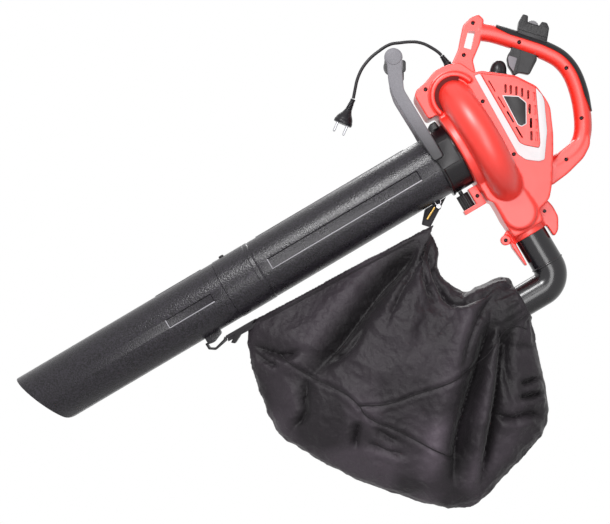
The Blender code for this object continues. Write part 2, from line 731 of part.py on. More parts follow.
def machine_bore():
    """Everything bored about the motor's axis, from the inlet to the rear bearing, as one turned form."""
    inlet = TUBE_RADIUS - TUBE_WALL
    rim = drum_profile(DRUM_FRONT + DRUM_WALL, DRUM_BACK - DRUM_WALL, DRUM_RADIUS - DRUM_WALL)
    web = DRUM_BACK - DRUM_WALL
    seat = web + 0.0047
    rear = MOTOR_ROOM_END + BEARING_LENGTH + SEAT
    profile = [
        (DISC_FRONT - 0.01, 0), (DISC_FRONT - 0.01, inlet), (DRUM_FRONT + DRUM_WALL, inlet), *rim,
        (web, SHAFT_RADIUS + 0.0035), (seat, SHAFT_RADIUS + 0.0035), (seat, FRONT_BEARING_RADIUS + SEAT),
        (MOTOR_ROOM_START, FRONT_BEARING_RADIUS + SEAT), (MOTOR_ROOM_START, MOTOR_RADIUS + SEAT),
        (MOTOR_ROOM_END, MOTOR_RADIUS + SEAT), (MOTOR_ROOM_END, REAR_BEARING_RADIUS + SEAT),
        (rear, REAR_BEARING_RADIUS + SEAT), (rear, 0),
    ]
    return turned(profile, sides=DRUM_SIDES)


COVER = (*COVER_TOP, *TRIM_INNER[:-1])


def make_housing():
    solid = housing_solid()
    solid = cut(solid, machine_bore(), rod(at(DUCT_U, -0.095), at(DUCT_U, DUCT_END - 0.02), DUCT_BORE, 28))
    recess = offset([*TRIM_OUTER, TRIM_INNER[0], *reversed(COVER_TOP)], 2 * SEAT)
    for _, low, high in sides(COVER_FLOOR, BODY_HALF + 0.02):
        solid = cut(solid, plate(recess, low, high))
    for _, low, high in sides(WINDOW_DEPTH, COVER_FLOOR + 0.001):
        solid = cut(solid, plate(WINDOW, low, high))
    pocket = [on_grip(*p) for p in TRIGGER_POCKET]
    switch = [on_grip(a, b) for a, b in (
        (SWITCH_FRONT - SEAT, 0.003), (SWITCH_BACK + SEAT, 0.003),
        (SWITCH_BACK + SEAT, SWITCH_DEPTH - SEAT), (SWITCH_FRONT - SEAT, SWITCH_DEPTH - SEAT))]
    slot = plate(STRAP_SLOT, -0.03, 0.03)
    trigger_room = plate(pocket, -TRIGGER_HALF - RUN, TRIGGER_HALF + RUN)
    switch_room = plate(switch, -SWITCH_HALF - SEAT, SWITCH_HALF + SEAT)
    pin_at = on_grip(*TRIGGER_PIVOT)
    reach = TRIGGER_PIN_HALF + SEAT
    pin_room = rod(at(*pin_at, -reach), at(*pin_at, reach), TRIGGER_PIN_RADIUS + SEAT, 12)
    base = Vector(at(*BOOT_BASE))
    gland = rod(base, base + (Vector(at(*BOOT_TIP)) - base) * 2, BOOT_RADIUS + SEAT)
    gland.data.transform(Matrix.Translation((0, 0, -SEAT)))
    solid = cut(solid, slot, trigger_room, switch_room, pin_room, gland)
    faces = [(p, BODY_HALF) for p in BODY_SCREWS] + [(p, BAR_RADIUS) for p in BAR_SCREWS]
    faces += [(p, POST_HALF) for p in POST_SCREWS] + [(EAR_SCREW, EAR_HALF), (WING_SCREW, WING_FACE)]
    for place, face in faces:
        hole = rod(at(*place, -face - 0.02), at(*place, SCREW_SINK - face), SCREW_HEAD_RADIUS, 10)
        solid = cut(solid, hole)
    for name, low, high in (("housing_near", -0.2, -PARTING), ("housing_far", PARTING, 0.2)):
        node(name, keep(copy(solid), box((-0.3, low, -0.4), (0.4, high, 0.4))), RED)
    bpy.data.objects.remove(solid, do_unlink=True)


def slot(place, length, width, lean):
    """A slot through the vent cover, given by its middle."""
    along = Vector((math.cos(lean), math.sin(lean))) * length / 2
    aside = Vector((-math.sin(lean), math.cos(lean))) * width / 2
    corners = [Vector(place) + a * along + b * aside for a, b in ((-1, -1), (1, -1), (1, 1), (-1, 1))]
    return [tuple(corner) for corner in corners]


def make_trim_and_covers():
    floor = COVER_FLOOR + SEAT
    for name, low, high in sides(floor, BODY_HALF + TRIM_PROUD):
        node("trim_" + name, plate([*TRIM_OUTER, *TRIM_INNER], low, high, edge=0.0006), WHITE)
    outlines = [slot(place, TOP_SLOT_LENGTH, SLOT_WIDTH, SLOT_LEAN) for place in TOP_SLOTS]
    outlines += [slot(place, REAR_SLOT_LENGTH, SLOT_WIDTH, SLOT_LEAN) for place in REAR_SLOTS]
    outlines += [slot(place, SIDE_SLOT_LENGTH, SIDE_SLOT_WIDTH, math.radians(90)) for place in SIDE_SLOTS]
    for name, low, high in sides(floor, BODY_HALF + COVER_PROUD):
        panel = plate(offset(COVER, -2 * SEAT), low, high, edge=0.0015)
        slots = [plate(outline, low - 0.005, high + 0.005) for outline in outlines]
        node("vent_cover_" + name, cut(panel, *slots), RED)
    face = BODY_HALF + COVER_PROUD + SEAT
    node("badge", plate(BADGE, -face - BADGE_THICKNESS, -face), BLACK)


def dress_tube(shape, span, height):
    """Sinks a long panel into both sides of a tube and lays a flat rib along its top."""
    first, last = span
    for _, low, high in sides(TUBE_RADIUS / 2, TUBE_RADIUS + 0.01):
        panel = box((first, low, -height / 2), (last, high, height / 2))
        core = rod((first - 0.01, 0, 0), (last + 0.01, 0, 0), TUBE_RADIUS - PANEL_DEPTH, TUBE_SIDES)
        shape = cut(shape, cut(panel, core))
    rib = box((first, -RIB_WIDTH / 2, TUBE_RADIUS - 0.001), (last, RIB_WIDTH / 2, TUBE_RADIUS + RIB_HEIGHT))
    return join(shape, rib)


def make_tubes():
    inner = TUBE_RADIUS - TUBE_WALL
    spigot = TUBE_RADIUS - STOP_STEP
    socket = spigot + SEAT
    upper = turned([
        (TUBE_TOP_END, TUBE_RADIUS), (SOCKET_START, TUBE_RADIUS),
        (SOCKET_START - 0.003, socket + SOCKET_WALL),
        (SOCKET_END, socket + SOCKET_WALL), (SOCKET_END, socket), (SOCKET_START - 0.009, socket),
        (SOCKET_START - 0.006, inner), (TUBE_TOP_END, inner)], sides=TUBE_SIDES, ring=True)
    lower = turned([
        (SOCKET_START - 0.0093, spigot), (SOCKET_END - SEAT, spigot), (SOCKET_END - SEAT, TUBE_RADIUS),
        (NOZZLE_TIP - 0.01, TUBE_RADIUS), (NOZZLE_TIP - 0.01, inner), (SOCKET_START - 0.0093, inner)],
        sides=TUBE_SIDES, ring=True)
    run = (NOZZLE_TIP - NOZZLE_HEEL) / (2 * TUBE_RADIUS)
    middle = (NOZZLE_TIP + NOZZLE_HEEL) / 2
    reach = 0.08
    mouth = plate([(NOZZLE_TIP - 0.06, reach), (middle + run * reach, reach),
                   (middle - run * reach, -reach), (NOZZLE_TIP - 0.06, -reach)], -reach, reach)
    lower = cut(lower, mouth)
    upper = dress_tube(upper, UPPER_PANEL, UPPER_PANEL_HEIGHT)
    lower = dress_tube(lower, LOWER_PANEL, LOWER_PANEL_HEIGHT)
    hole = LATCH_RADIUS + SEAT
    outside = TUBE_RADIUS + 0.01
    upper = cut(upper, rod(at(LATCH_U, inner), at(LATCH_U, outside), hole, 14))
    lower = cut(lower, rod(at(LATCH_U, inner - 0.004), at(LATCH_U, outside), hole, 14))
    behind = WEBBING / 2 + SEAT
    upper = join(upper, plate(REAR_LUG, behind, behind + REAR_LUG_DEPTH))
    deep = behind + REAR_LUG_DEPTH - 0.001
    upper = cut(upper, rod(at(*REAR_PIN), at(*REAR_PIN, deep), REAR_PIN_RADIUS + SEAT))
    lower = join(lower, plate(FRONT_LUG, -FRONT_LUG_HALF, FRONT_LUG_HALF, edge=0.001))
    bore = rod((-1.1, 0, 0), (0, 0, 0), inner, TUBE_SIDES)
    upper = cut(upper, copy(bore))
    lower = cut(lower, bore)
    node("upper_tube", upper, TUBE_BLACK)
    node("lower_tube", lower, TUBE_BLACK)
    top = socket + SOCKET_WALL + LATCH_PROUD
    flange_top = math.sqrt(inner ** 2 - LATCH_FLANGE ** 2) - SEAT
    flange_low = flange_top - 0.002
    button = turned([(flange_low, 0), (flange_low, LATCH_FLANGE), (flange_top, LATCH_FLANGE),
                     (flange_top, LATCH_RADIUS), (top - 0.001, LATCH_RADIUS), (top, LATCH_RADIUS - 0.001),
                     (top, 0)], (LATCH_U, 0, 0), (0, 0, 1), 14)
    node("tube_latch", button, BLACK, pivot=at(LATCH_U, top))


def make_collar():
    inner = TUBE_RADIUS + SEAT
    outer = inner + COLLAR_WALL
    ring = turned([
        (COLLAR_FRONT, inner), (COLLAR_FRONT, outer + COLLAR_LIP), (COLLAR_FRONT + 0.004, outer + COLLAR_LIP),
        (COLLAR_FRONT + 0.005, outer), (COLLAR_BACK, outer), (COLLAR_BACK, inner)],
        sides=TUBE_SIDES, ring=True)
    right = ARM_FOOT[1][0] + SEAT
    foot = ARM_FOOT[0][1] - SEAT
    front = COLLAR_FRONT + 0.001
    back = COLLAR_BACK - 0.003
    ledge = [(front, LEDGE_LOW), (back, LEDGE_LOW), (back, LEDGE_TOP), (right, LEDGE_TOP),
             (right, foot), (front, foot)]
    ledges = [plate(ledge, low, high) for _, low, high in sides(TUBE_RADIUS - 0.006, LEDGE_REACH)]
    ring = join(ring, *ledges, plate(COLLAR_LUG, -COLLAR_LUG_HALF, COLLAR_LUG_HALF, edge=0.001))
    for _, low, high in sides(ARM_INNER - SEAT, ARM_INNER + 0.02):
        ring = cut(ring, box((COLLAR_FRONT - 0.01, low, foot), (right, high, TUBE_RADIUS + 0.02)))
    clear = rod((COLLAR_FRONT - 0.01, 0, 0), (COLLAR_BACK + 0.01, 0, 0), inner, TUBE_SIDES)
    node("inlet_collar", cut(ring, clear), BLACK)


def make_impeller():
    back = IMPELLER_BACK
    embedded = back - IMPELLER_PLATE / 2
    bore = SHAFT_RADIUS + SEAT
    disc = turned([(BLADE_FRONT + 0.004, bore), (BLADE_FRONT + 0.004, HUB_RADIUS - 0.006),
                   (back - 0.010, HUB_RADIUS), (back - IMPELLER_PLATE, HUB_RADIUS),
                   (back - IMPELLER_PLATE, IMPELLER_RADIUS), (back, IMPELLER_RADIUS), (back, bore)],
                  sides=36, ring=True)
    blades = []
    for i in range(BLADES):
        blade = box((BLADE_FRONT, -BLADE_THICKNESS / 2, HUB_RADIUS - 0.005),
                    (embedded, BLADE_THICKNESS / 2, IMPELLER_RADIUS - 0.001))
        blade.data.transform(Matrix.Rotation(2 * math.pi * i / BLADES, 4, "X"))
        blades.append(blade)
    node("impeller", join(disc, *blades), STEEL, pivot=(0, 0, 0))


def make_motor():
    node("motor_shaft", rod((SHAFT_START, 0, 0), (SHAFT_END, 0, 0), SHAFT_RADIUS, 16), STEEL, pivot=(0, 0, 0))
    bore = SHAFT_RADIUS + SEAT
    gap = MOTOR_RADIUS - STATOR_WALL - RUN

    def ring(start, end, outer, inner, count=32):
        return turned([(start, inner), (start, outer), (end, outer), (end, inner)], sides=count, ring=True)

    node("motor_armature", ring(STATOR_START + 0.002, STATOR_END - 0.002, gap, bore), STEEL, pivot=(0, 0, 0))
    bars = ring(COMMUTATOR_START, COMMUTATOR_END, COMMUTATOR_RADIUS, bore, 24)
    node("commutator", bars, COPPER, pivot=(0, 0, 0))
    node("motor_stator", ring(STATOR_START, STATOR_END, MOTOR_RADIUS, MOTOR_RADIUS - STATOR_WALL), STEEL)
    front = MOTOR_ROOM_START - BEARING_LENGTH
    node("front_bearing", ring(front + SEAT, MOTOR_ROOM_START, FRONT_BEARING_RADIUS, bore, 24), STEEL)
    rear = MOTOR_ROOM_END
    node("rear_bearing", ring(rear, rear + BEARING_LENGTH, REAR_BEARING_RADIUS, bore, 24), STEEL)
    middle = (COMMUTATOR_START + COMMUTATOR_END) / 2
    for name, low, high in sides(COMMUTATOR_RADIUS + RUN, MOTOR_RADIUS - 0.001):
        holder = box((middle - 0.005, low, -0.006), (middle + 0.005, high, 0.006), 0.0008)
        node("brush_holder_" + name, holder, COPPER)


def make_grip():
    shell = bar(OVERMOULD_ROUTE, BAR_RADIUS + OVERMOULD_WALL)
    inner = bar(radius=BAR_RADIUS + SEAT)
    centre = [p.xz for p in smooth_route([at(u, v) for u, v in BAR_ROUTE], BAR_SPACING)]
    rim = [tuple(p + (p - Vector(D_CENTRE)).normalized() * OVERMOULD_EDGE) for p in centre]
    inside = plate([*rim, D_CENTRE], -0.04, 0.04)
    node("grip_overmould", cut(shell, inside, inner), SOFT)

    pivot = on_grip(*TRIGGER_PIVOT)
    lever = plate(rounded([on_grip(*p) for p in TRIGGER], 0.004), -TRIGGER_HALF, TRIGGER_HALF, edge=0.0015)
    lever = cut(lever, rod(at(*pivot, -0.02), at(*pivot, 0.02), TRIGGER_PIN_RADIUS + SEAT, 12))
    node("trigger", lever, BLACK, pivot=at(*pivot))
    pin = rod(at(*pivot, -TRIGGER_PIN_HALF), at(*pivot, TRIGGER_PIN_HALF), TRIGGER_PIN_RADIUS, 12)
    node("trigger_pin", pin, STEEL)
    switch = [on_grip(a, b) for a, b in ((SWITCH_FRONT, SWITCH_TOP), (SWITCH_BACK, SWITCH_TOP),
                                         (SWITCH_BACK, SWITCH_DEPTH), (SWITCH_FRONT, SWITCH_DEPTH))]
    node("trigger_switch", plate(switch, -SWITCH_HALF, SWITCH_HALF), BLACK)


def make_speed_dial():
    centre = on_grip(*DIAL_CENTRE)
    outline = rounded([on_grip(*p) for p in DIAL_HOUSING], 0.0025)
    case = plate(outline, -DIAL_HOUSING_HALF, DIAL_HOUSING_HALF, edge=0.0015)
    half = DIAL_HALF + RUN
    room = rod(at(*centre, -half), at(*centre, half), DIAL_RADIUS + RUN, 28)
    reach = DIAL_PIN_HALF + SEAT
    pin_room = rod(at(*centre, -reach), at(*centre, reach), DIAL_PIN_RADIUS + SEAT, 12)
    seat = bar(DIAL_ROUTE, BAR_RADIUS + OVERMOULD_WALL + SEAT)
    node("dial_housing", cut(case, room, pin_room, seat), BLACK)
    outline = []
    for i in range(DIAL_NOTCHES):
        for part, radius in ((0.0, DIAL_RADIUS), (0.5, DIAL_RADIUS), (0.62, DIAL_RADIUS - 0.001),
                             (0.88, DIAL_RADIUS - 0.001)):
            a = 2 * math.pi * (i + part) / DIAL_NOTCHES
            outline.append((centre[0] + radius * math.cos(a), centre[1] + radius * math.sin(a)))
    wheel = plate(outline, -DIAL_HALF, DIAL_HALF)
    wheel = cut(wheel, rod(at(*centre, -0.02), at(*centre, 0.02), DIAL_PIN_RADIUS + SEAT, 12))
    node("speed_dial", wheel, GREY, pivot=at(*centre))
    node("dial_pin", rod(at(*centre, -DIAL_PIN_HALF), at(*centre, DIAL_PIN_HALF), DIAL_PIN_RADIUS, 12), STEEL)


def make_selector():
    base = at(SELECTOR_U, SELECTOR_V)
    up = (math.cos(SELECTOR_LEAN), 0, math.sin(SELECTOR_LEAN))
    start = SEAT
    rim = SELECTOR_RADIUS + 0.002
    top = start + SELECTOR_FOOT
    foot = turned([(start, 0.0045), (start, rim), (top - 0.001, rim), (top, rim - 0.001), (top, 0.0045)],
                  base, up, 24, ring=True)
    node("selector_base", foot, BLACK)
    low = top + SEAT
    dome = [(low + (SELECTOR_HEIGHT - low) * math.sin(a), SELECTOR_RADIUS * math.cos(a) ** 0.8)
            for a in (math.radians(d) for d in range(0, 85, 14))]
    foot = start + 0.0005
    knob = turned([(foot, 0), (foot, 0.0042), (low, 0.0042), *dome, (SELECTOR_HEIGHT, 0)], base, up, 24)
    node("selector_knob", knob, BLACK, pivot=base)


def make_front_handle():
    far_front = [(u + FAR_ARM_INSET, v) for u, v in ARM_FRONT]
    for name, low, high in sides(ARM_INNER, ARM_INNER + ARM_THICKNESS):
        front = ARM_FRONT if name == "near" else far_front
        arm = plate(rounded([*ARM_FOOT, *ARM_BACK, *front], 0.006), low, high, edge=0.0018)
        eye = rod(at(CROSS_U, CROSS_V, low), at(CROSS_U, CROSS_V, high), EYE_RADIUS, 24)
        node("front_handle_arm_" + name, join(arm, eye), GREY)
    half = ARM_INNER - SEAT
    rim = CROSS_RADIUS - 0.002
    grip = turned([(-half, 0), (-half, rim), (0.003 - half, CROSS_RADIUS), (half - 0.003, CROSS_RADIUS),
                   (half, rim), (half, 0)], at(CROSS_U, CROSS_V), (0, 1, 0), 24)
    node("front_handle_grip", grip, GREY)


def make_lock():
    right = DISC_FRONT - SEAT
    bracket = plate([(right, BRACKET_TOP), (right, BRACKET_BASE), (BRACKET_FRONT, BRACKET_BASE),
                     (BRACKET_FRONT, BRACKET_FLOOR), (BRACKET_WALL, BRACKET_FLOOR),
                     (BRACKET_WALL, BRACKET_TOP)],
                    -BRACKET_HALF, BRACKET_HALF, edge=0.001)
    head = rod(at(*BRACKET_SCREW, -BRACKET_HALF - 0.01), at(*BRACKET_SCREW, SCREW_SINK - BRACKET_HALF),
               SCREW_HEAD_RADIUS, 10)
    node("lock_bracket", cut(bracket, head), RED)
    outline = []
    groove = KNOB_RADIUS - KNOB_GROOVE
    for i in range(KNOB_RIBS):
        for part, radius in ((0.0, KNOB_RADIUS), (0.5, KNOB_RADIUS), (0.65, groove), (0.85, groove)):
            a = 2 * math.pi * (i + part) / KNOB_RIBS
            outline.append((KNOB_U + radius * math.cos(a), radius * math.sin(a)))
    knob = plate(outline, BRACKET_FLOOR + SEAT, KNOB_TOP, "v")
    stem_end = -TUBE_RADIUS - SEAT - COLLAR_WALL - SEAT
    stem = rod(at(KNOB_U, KNOB_TOP - 0.002), at(KNOB_U, stem_end), 0.004, 14)
    node("lock_knob", join(knob, stem), BLACK, pivot=at(KNOB_U, KNOB_TOP))


def make_outlet():
    u = DUCT_U
    spigot = DUCT_BORE - SEAT
    seat = DUCT_END - SEAT
    socket = SLEEVE_END + PIPE_SOCKET_DEPTH
    sleeve = turned([
        (SLEEVE_SPIGOT_TOP, spigot), (seat, spigot), (seat, SLEEVE_RADIUS),
        (SLEEVE_END, SLEEVE_RADIUS + SLEEVE_FLARE), (SLEEVE_END, PIPE_SOCKET), (socket, PIPE_SOCKET),
        (socket, PIPE_BORE), (SLEEVE_SPIGOT_TOP, PIPE_BORE)],
        (u, 0, 0), (0, 0, 1), 32, ring=True)
    node("outlet_sleeve", sleeve, PIPE_BLACK)
    start = SLEEVE_END - SEAT
    turn = start - 0.002
    leg = turn - BEND_RADIUS

    def route(first, last):
        points = [(u, 0, first)]
        for k in range(9):
            a = math.radians(90 * k / 8)
            points.append((u - BEND_RADIUS * (1 - math.cos(a)), 0, turn - BEND_RADIUS * math.sin(a)))
        points.append((last, 0, leg))
        return points

    pipe = tube(route(start, LEG_END), ELBOW_RADIUS, 10)
    collar = rod((u, 0, start - 0.003), (u, 0, socket - SEAT), PIPE_SOCKET - SEAT, 32)
    pipe = cut(join(pipe, collar), tube(route(socket + 0.01, LEG_END - 0.01), PIPE_BORE, 8))
    node("outlet_elbow", pipe, PIPE_BLACK)
    end = BAG_MOUTH - 0.002
    inner = ELBOW_RADIUS + SEAT
    ring = turned([(LEG_END, inner), (LEG_END, BAG_COLLAR_RADIUS), (end, BAG_COLLAR_RADIUS), (end, inner)],
                  (0, 0, leg), (1, 0, 0), 32, ring=True)
    node("bag_collar", ring, BLACK)


def make_cord():
    base = at(*BOOT_BASE)
    tip = at(*BOOT_TIP)
    length = (Vector(tip) - Vector(base)).length
    boot = turned([(0, 0), (0, BOOT_RADIUS), (0.013, BOOT_RADIUS), (length - 0.002, BOOT_TIP_RADIUS),
                   (length, BOOT_TIP_RADIUS - 0.0006), (length, 0)],
                  base, Vector(tip) - Vector(base), 16)
    node("cord_boot", boot, BLACK)
    node("power_cord", tube(smooth_route(CORD_ROUTE, CORD_SPACING), CORD_RADIUS, 2), BLACK, UPRIGHT)
    down = Vector((-math.sin(PLUG_LEAN), 0, -math.cos(PLUG_LEAN)))
    aside = Vector((math.cos(PLUG_LEAN), 0, -math.sin(PLUG_LEAN)))
    start = Vector((PLUG_START[0], 0, PLUG_START[1]))
    plug = turned([(0, 0), (0, 0.0050), (0.003, 0.0050), (0.0045, 0.0040), (PLUG_RELIEF, 0.0070),
                   (PLUG_RELIEF + 0.012, 0.0135), (PLUG_LENGTH - 0.007, PLUG_RADIUS - 0.001),
                   (PLUG_LENGTH - 0.006, PLUG_RADIUS), (PLUG_LENGTH, PLUG_RADIUS), (PLUG_LENGTH, 0)],
                  start, down, 24)
    face = start + down * PLUG_LENGTH
    rooted = down * PIN_ROOT
    for name, side in (("left", -1), ("right", 1)):
        foot = face + side * aside * PIN_SPACING / 2
        plug = cut(plug, rod(foot - rooted - down * SEAT, foot + rooted, PIN_RADIUS + SEAT, 12))
        node("plug_pin_" + name, rod(foot - rooted, foot + down * PIN_LENGTH, PIN_RADIUS, 12), STEEL, UPRIGHT)
    node("plug", plug, BLACK, UPRIGHT)


def make_bag():
    """A sphere drawn out to the bag's outline, thin along its top edge, with folds fanning from its apex."""
    count = len(BAG_OUTLINE)
    mesh = bpy.data.meshes.new("bag")
    work = bmesh.new()
    bmesh.ops.create_uvsphere(work, u_segments=2 * count, v_segments=BAG_RINGS, radius=1.0)
    middle = Vector(BAG_CENTRE)
    for vert in work.verts:
        turn = round(math.atan2(vert.co.y, vert.co.x) / math.pi * count) / 2 % count
        edge = int(turn)
        rim = Vector(BAG_OUTLINE[edge]).lerp(Vector(BAG_OUTLINE[(edge + 1) % count]), turn - edge)
        share = math.hypot(vert.co.x, vert.co.y)
        place = middle.lerp(rim, share)
        upward = max(0.0, (rim - middle).normalized().y)
        full = BAG_HALF * (1 - 0.45 * upward * share)
        from_apex = Vector(BAG_APEX) - place
        fan = math.atan2(from_apex.x, from_apex.y)
        fold = FOLD_DEPTH * math.cos(FOLDS * fan * 2) * math.sin(math.pi * min(1.0, share))
        vert.co = (place.x, (full + fold) * vert.co.z, place.y)
    work.to_mesh(mesh)
    work.free()
    return tidy(loose("bag", mesh))


def to_world(u, v, y=0.0):
    c = math.cos(LEAN)
    s = math.sin(LEAN)
    du = u - GRIP_U
    dv = v - GRIP_V
    return Vector((du * c - dv * s, y, du * s + dv * c))


def make_bag_and_straps():
    leg = SLEEVE_END - SEAT - 0.002 - BEND_RADIUS
    bag = make_bag()
    mouth = to_world(BAG_MOUTH, leg)
    deep = to_world(BAG_MOUTH - 0.10, leg)
    bag = join(bag, rod(mouth, deep, BAG_MOUTH_RADIUS, 24, end_radius=0.060))
    inner = to_world(LEG_END - 0.012, leg)
    outer = to_world(BAG_MOUTH + 0.01, leg)
    bag = cut(bag, rod(inner, outer, BAG_COLLAR_RADIUS + SEAT, 32))
    node("bag", bag, CLOTH, UPRIGHT, crease=60)
    strap = [to_world(*p).xz for p in REAR_STRAP_TOP] + list(REAR_STRAP_FOOT)
    strap = plate(strap, -WEBBING / 2, WEBBING / 2)
    eye = to_world(*REAR_PIN)
    strap = cut(strap, rod(eye - Y_AXIS * 0.01, eye + Y_AXIS * 0.01, REAR_PIN_RADIUS + SEAT))
    node("rear_strap", strap, CLOTH, UPRIGHT)
    front = -WEBBING / 2 - SEAT
    end = REAR_PIN_HEAD_LENGTH + WEBBING + REAR_LUG_DEPTH - 0.001
    pin = turned([(0, 0), (0, REAR_PIN_HEAD), (REAR_PIN_HEAD_LENGTH, REAR_PIN_HEAD),
                  (REAR_PIN_HEAD_LENGTH, REAR_PIN_RADIUS), (end, REAR_PIN_RADIUS), (end, 0)],
                 at(*REAR_PIN, front - REAR_PIN_HEAD_LENGTH), (0, 1, 0), 16)
    node("rear_strap_pin", pin, STEEL)
    node("front_hook", plate(rounded(FRONT_HOOK, 0.002), -FRONT_LUG_HALF, FRONT_LUG_HALF, edge=0.0006), BLACK)
    node("front_strap", plate(FRONT_STRAP, -STRAP_HALF, STRAP_HALF), CLOTH, UPRIGHT)
    node("strap_slider", plate(SLIDER, -STRAP_HALF, STRAP_HALF), BLACK, UPRIGHT)


make_housing()
make_trim_and_covers()
make_tubes()
make_collar()
make_impeller()
make_motor()
make_grip()
make_speed_dial()
make_selector()
make_front_handle()
make_lock()
make_outlet()
make_cord()
make_bag_and_straps()
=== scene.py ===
# %% [markdown]
# # An electric leaf vacuum, built up piece by piece
#
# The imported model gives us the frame: every rigid body with its joints, and one plain solid for each
# piece. In this lesson we dress that frame. We make finer versions of the pieces that show, we keep
# the pieces that hide inside the casing, and everything gets a material made of nodes.

# %% Load the frame and remember its size
import math
import time

import bmesh
import bpy
import numpy as np
from mathutils import Matrix, Vector, noise


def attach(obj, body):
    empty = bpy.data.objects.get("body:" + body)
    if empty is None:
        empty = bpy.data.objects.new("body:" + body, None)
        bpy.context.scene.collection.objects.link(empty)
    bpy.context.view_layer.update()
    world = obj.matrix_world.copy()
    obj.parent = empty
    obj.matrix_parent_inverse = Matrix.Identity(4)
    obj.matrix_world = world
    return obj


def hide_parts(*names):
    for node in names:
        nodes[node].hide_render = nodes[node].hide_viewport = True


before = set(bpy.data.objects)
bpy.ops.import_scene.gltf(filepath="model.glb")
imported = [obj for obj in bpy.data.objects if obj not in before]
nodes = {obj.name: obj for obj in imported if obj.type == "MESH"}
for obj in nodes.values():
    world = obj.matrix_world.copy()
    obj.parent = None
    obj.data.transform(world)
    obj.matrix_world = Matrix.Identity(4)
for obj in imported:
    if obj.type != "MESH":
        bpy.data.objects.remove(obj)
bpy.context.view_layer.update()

# %% [markdown]
# ## Where the camera stands
#
# The photograph is a catalogue picture taken square to the side, so the picture plane is parallel to
# the tool's own middle plane. Round things tell us how far the camera stood: the joints between the
# tubes look slightly curved, as from about 2.6 m. The lens is chosen so that one pixel is 1.85 mm at
# the middle of the tool. The camera stands a little to the right of the picture's middle, and a small
# lens shift moves the frame back, as in a picture that was cut to size after it was taken.

# %% Camera
PIXEL = 0.00185
PICTURE_WIDTH = 610
LOOK_AT = Vector((-0.4107, 0.0, -0.4015))
CAMERA_DISTANCE = 2.6
CAMERA_SHIFT = 0.10
SENSOR = 36.0

camera_data = bpy.data.cameras.new("camera")
camera_data.sensor_width = SENSOR
camera_data.lens = SENSOR * CAMERA_DISTANCE / (PIXEL * PICTURE_WIDTH)
camera_data.shift_x = -CAMERA_SHIFT
camera = bpy.data.objects.new("camera", camera_data)
bpy.context.scene.collection.objects.link(camera)
camera.location = LOOK_AT + Vector((CAMERA_SHIFT * PIXEL * PICTURE_WIDTH, -CAMERA_DISTANCE, 0))
camera.rotation_euler = (math.pi / 2, 0, 0)
bpy.context.scene.camera = camera
bpy.context.scene.view_settings.view_transform = "Standard"
print(f"lens {camera_data.lens:.1f} mm, camera at", tuple(round(x, 3) for x in camera.location))

# %% [markdown]
# ## Studio
#
# A white room is the plainest studio. The world is white to the camera and in reflections, and
# dimmer for the light that falls on the tool, so that four lamps can model its shapes: a key above to
# the left, a softbox beside the camera, a large low one that lifts the undersides, and a long one
# behind for the rims. Dark plastics mirror the white room too, so they are given a weak sheen. The
# floor lies well below the tool, which is held in the air, and fades into the white room at its rim.

# %% World, lamps and floor
WORLD_LIGHT = 0.13


def new_tree(tree):
    tree.nodes.clear()
    return tree.nodes, tree.links


world = bpy.data.worlds.new("white room")
bpy.context.scene.world = world
world.use_nodes = True
made, links = new_tree(world.node_tree)
path = made.new("ShaderNodeLightPath")
seen = made.new("ShaderNodeMath")
seen.operation = "MAXIMUM"
seen_too = made.new("ShaderNodeMath")
seen_too.operation = "MAXIMUM"
links.new(path.outputs["Is Camera Ray"], seen.inputs[0])
links.new(path.outputs["Is Glossy Ray"], seen.inputs[1])
links.new(seen.outputs[0], seen_too.inputs[0])
links.new(path.outputs["Is Transmission Ray"], seen_too.inputs[1])
level = made.new("ShaderNodeMapRange")
level.inputs["To Min"].default_value = WORLD_LIGHT
level.inputs["To Max"].default_value = 1.0
links.new(seen_too.outputs[0], level.inputs["Value"])
white = made.new("ShaderNodeBackground")
white.inputs["Color"].default_value = (1, 1, 1, 1)
links.new(level.outputs["Result"], white.inputs["Strength"])
links.new(white.outputs[0], made.new("ShaderNodeOutputWorld").inputs["Surface"])


def lamp(name, place, aim, size, watts, length=None):
    data = bpy.data.lights.new(name, "AREA")
    data.energy = watts
    data.size = size
    if length:
        data.shape = "RECTANGLE"
        data.size_y = length
    obj = bpy.data.objects.new(name, data)
    bpy.context.scene.collection.objects.link(obj)
    obj.location = place
    obj.rotation_euler = (Vector(aim) - Vector(place)).to_track_quat("-Z", "Y").to_euler()
    return obj


lamp("key", (-1.0, -1.9, 1.15), (-0.3, 0, -0.35), 0.6, 44)
lamp("front softbox", (0.15, -2.5, 0.45), (-0.2, 0, -0.3), 0.8, 11)
lamp("low softbox", (0.1, -2.5, -0.7), (-0.15, 0, -0.35), 1.0, 20)
lamp("rim", (-0.3, 1.8, 1.2), (-0.35, 0, -0.3), 1.4, 20, 0.6)

FLOOR_LEVEL = -1.2
FLOOR_RADIUS = 1.5
FADE_START = 0.45
FADE_END = 0.97
work = bmesh.new()
bmesh.ops.create_circle(work, cap_ends=True, segments=96, radius=FLOOR_RADIUS)
floor_mesh = bpy.data.meshes.new("floor")
work.to_mesh(floor_mesh)
work.free()
floor = bpy.data.objects.new("floor", floor_mesh)
bpy.context.scene.collection.objects.link(floor)
floor.location = (LOOK_AT.x, 0, FLOOR_LEVEL)
floor_paint = bpy.data.materials.new("pale floor")
floor_paint.use_nodes = True
made, links = new_tree(floor_paint.node_tree)
place = made.new("ShaderNodeTexCoord")
radial = made.new("ShaderNodeVectorMath")
radial.operation = "LENGTH"
links.new(place.outputs["Object"], radial.inputs[0])
fade = made.new("ShaderNodeMapRange")
fade.interpolation_type = "SMOOTHSTEP"
fade.inputs["From Min"].default_value = FLOOR_RADIUS * FADE_START
fade.inputs["From Max"].default_value = FLOOR_RADIUS * FADE_END
links.new(radial.outputs["Value"], fade.inputs["Value"])
matt = made.new("ShaderNodeBsdfDiffuse")
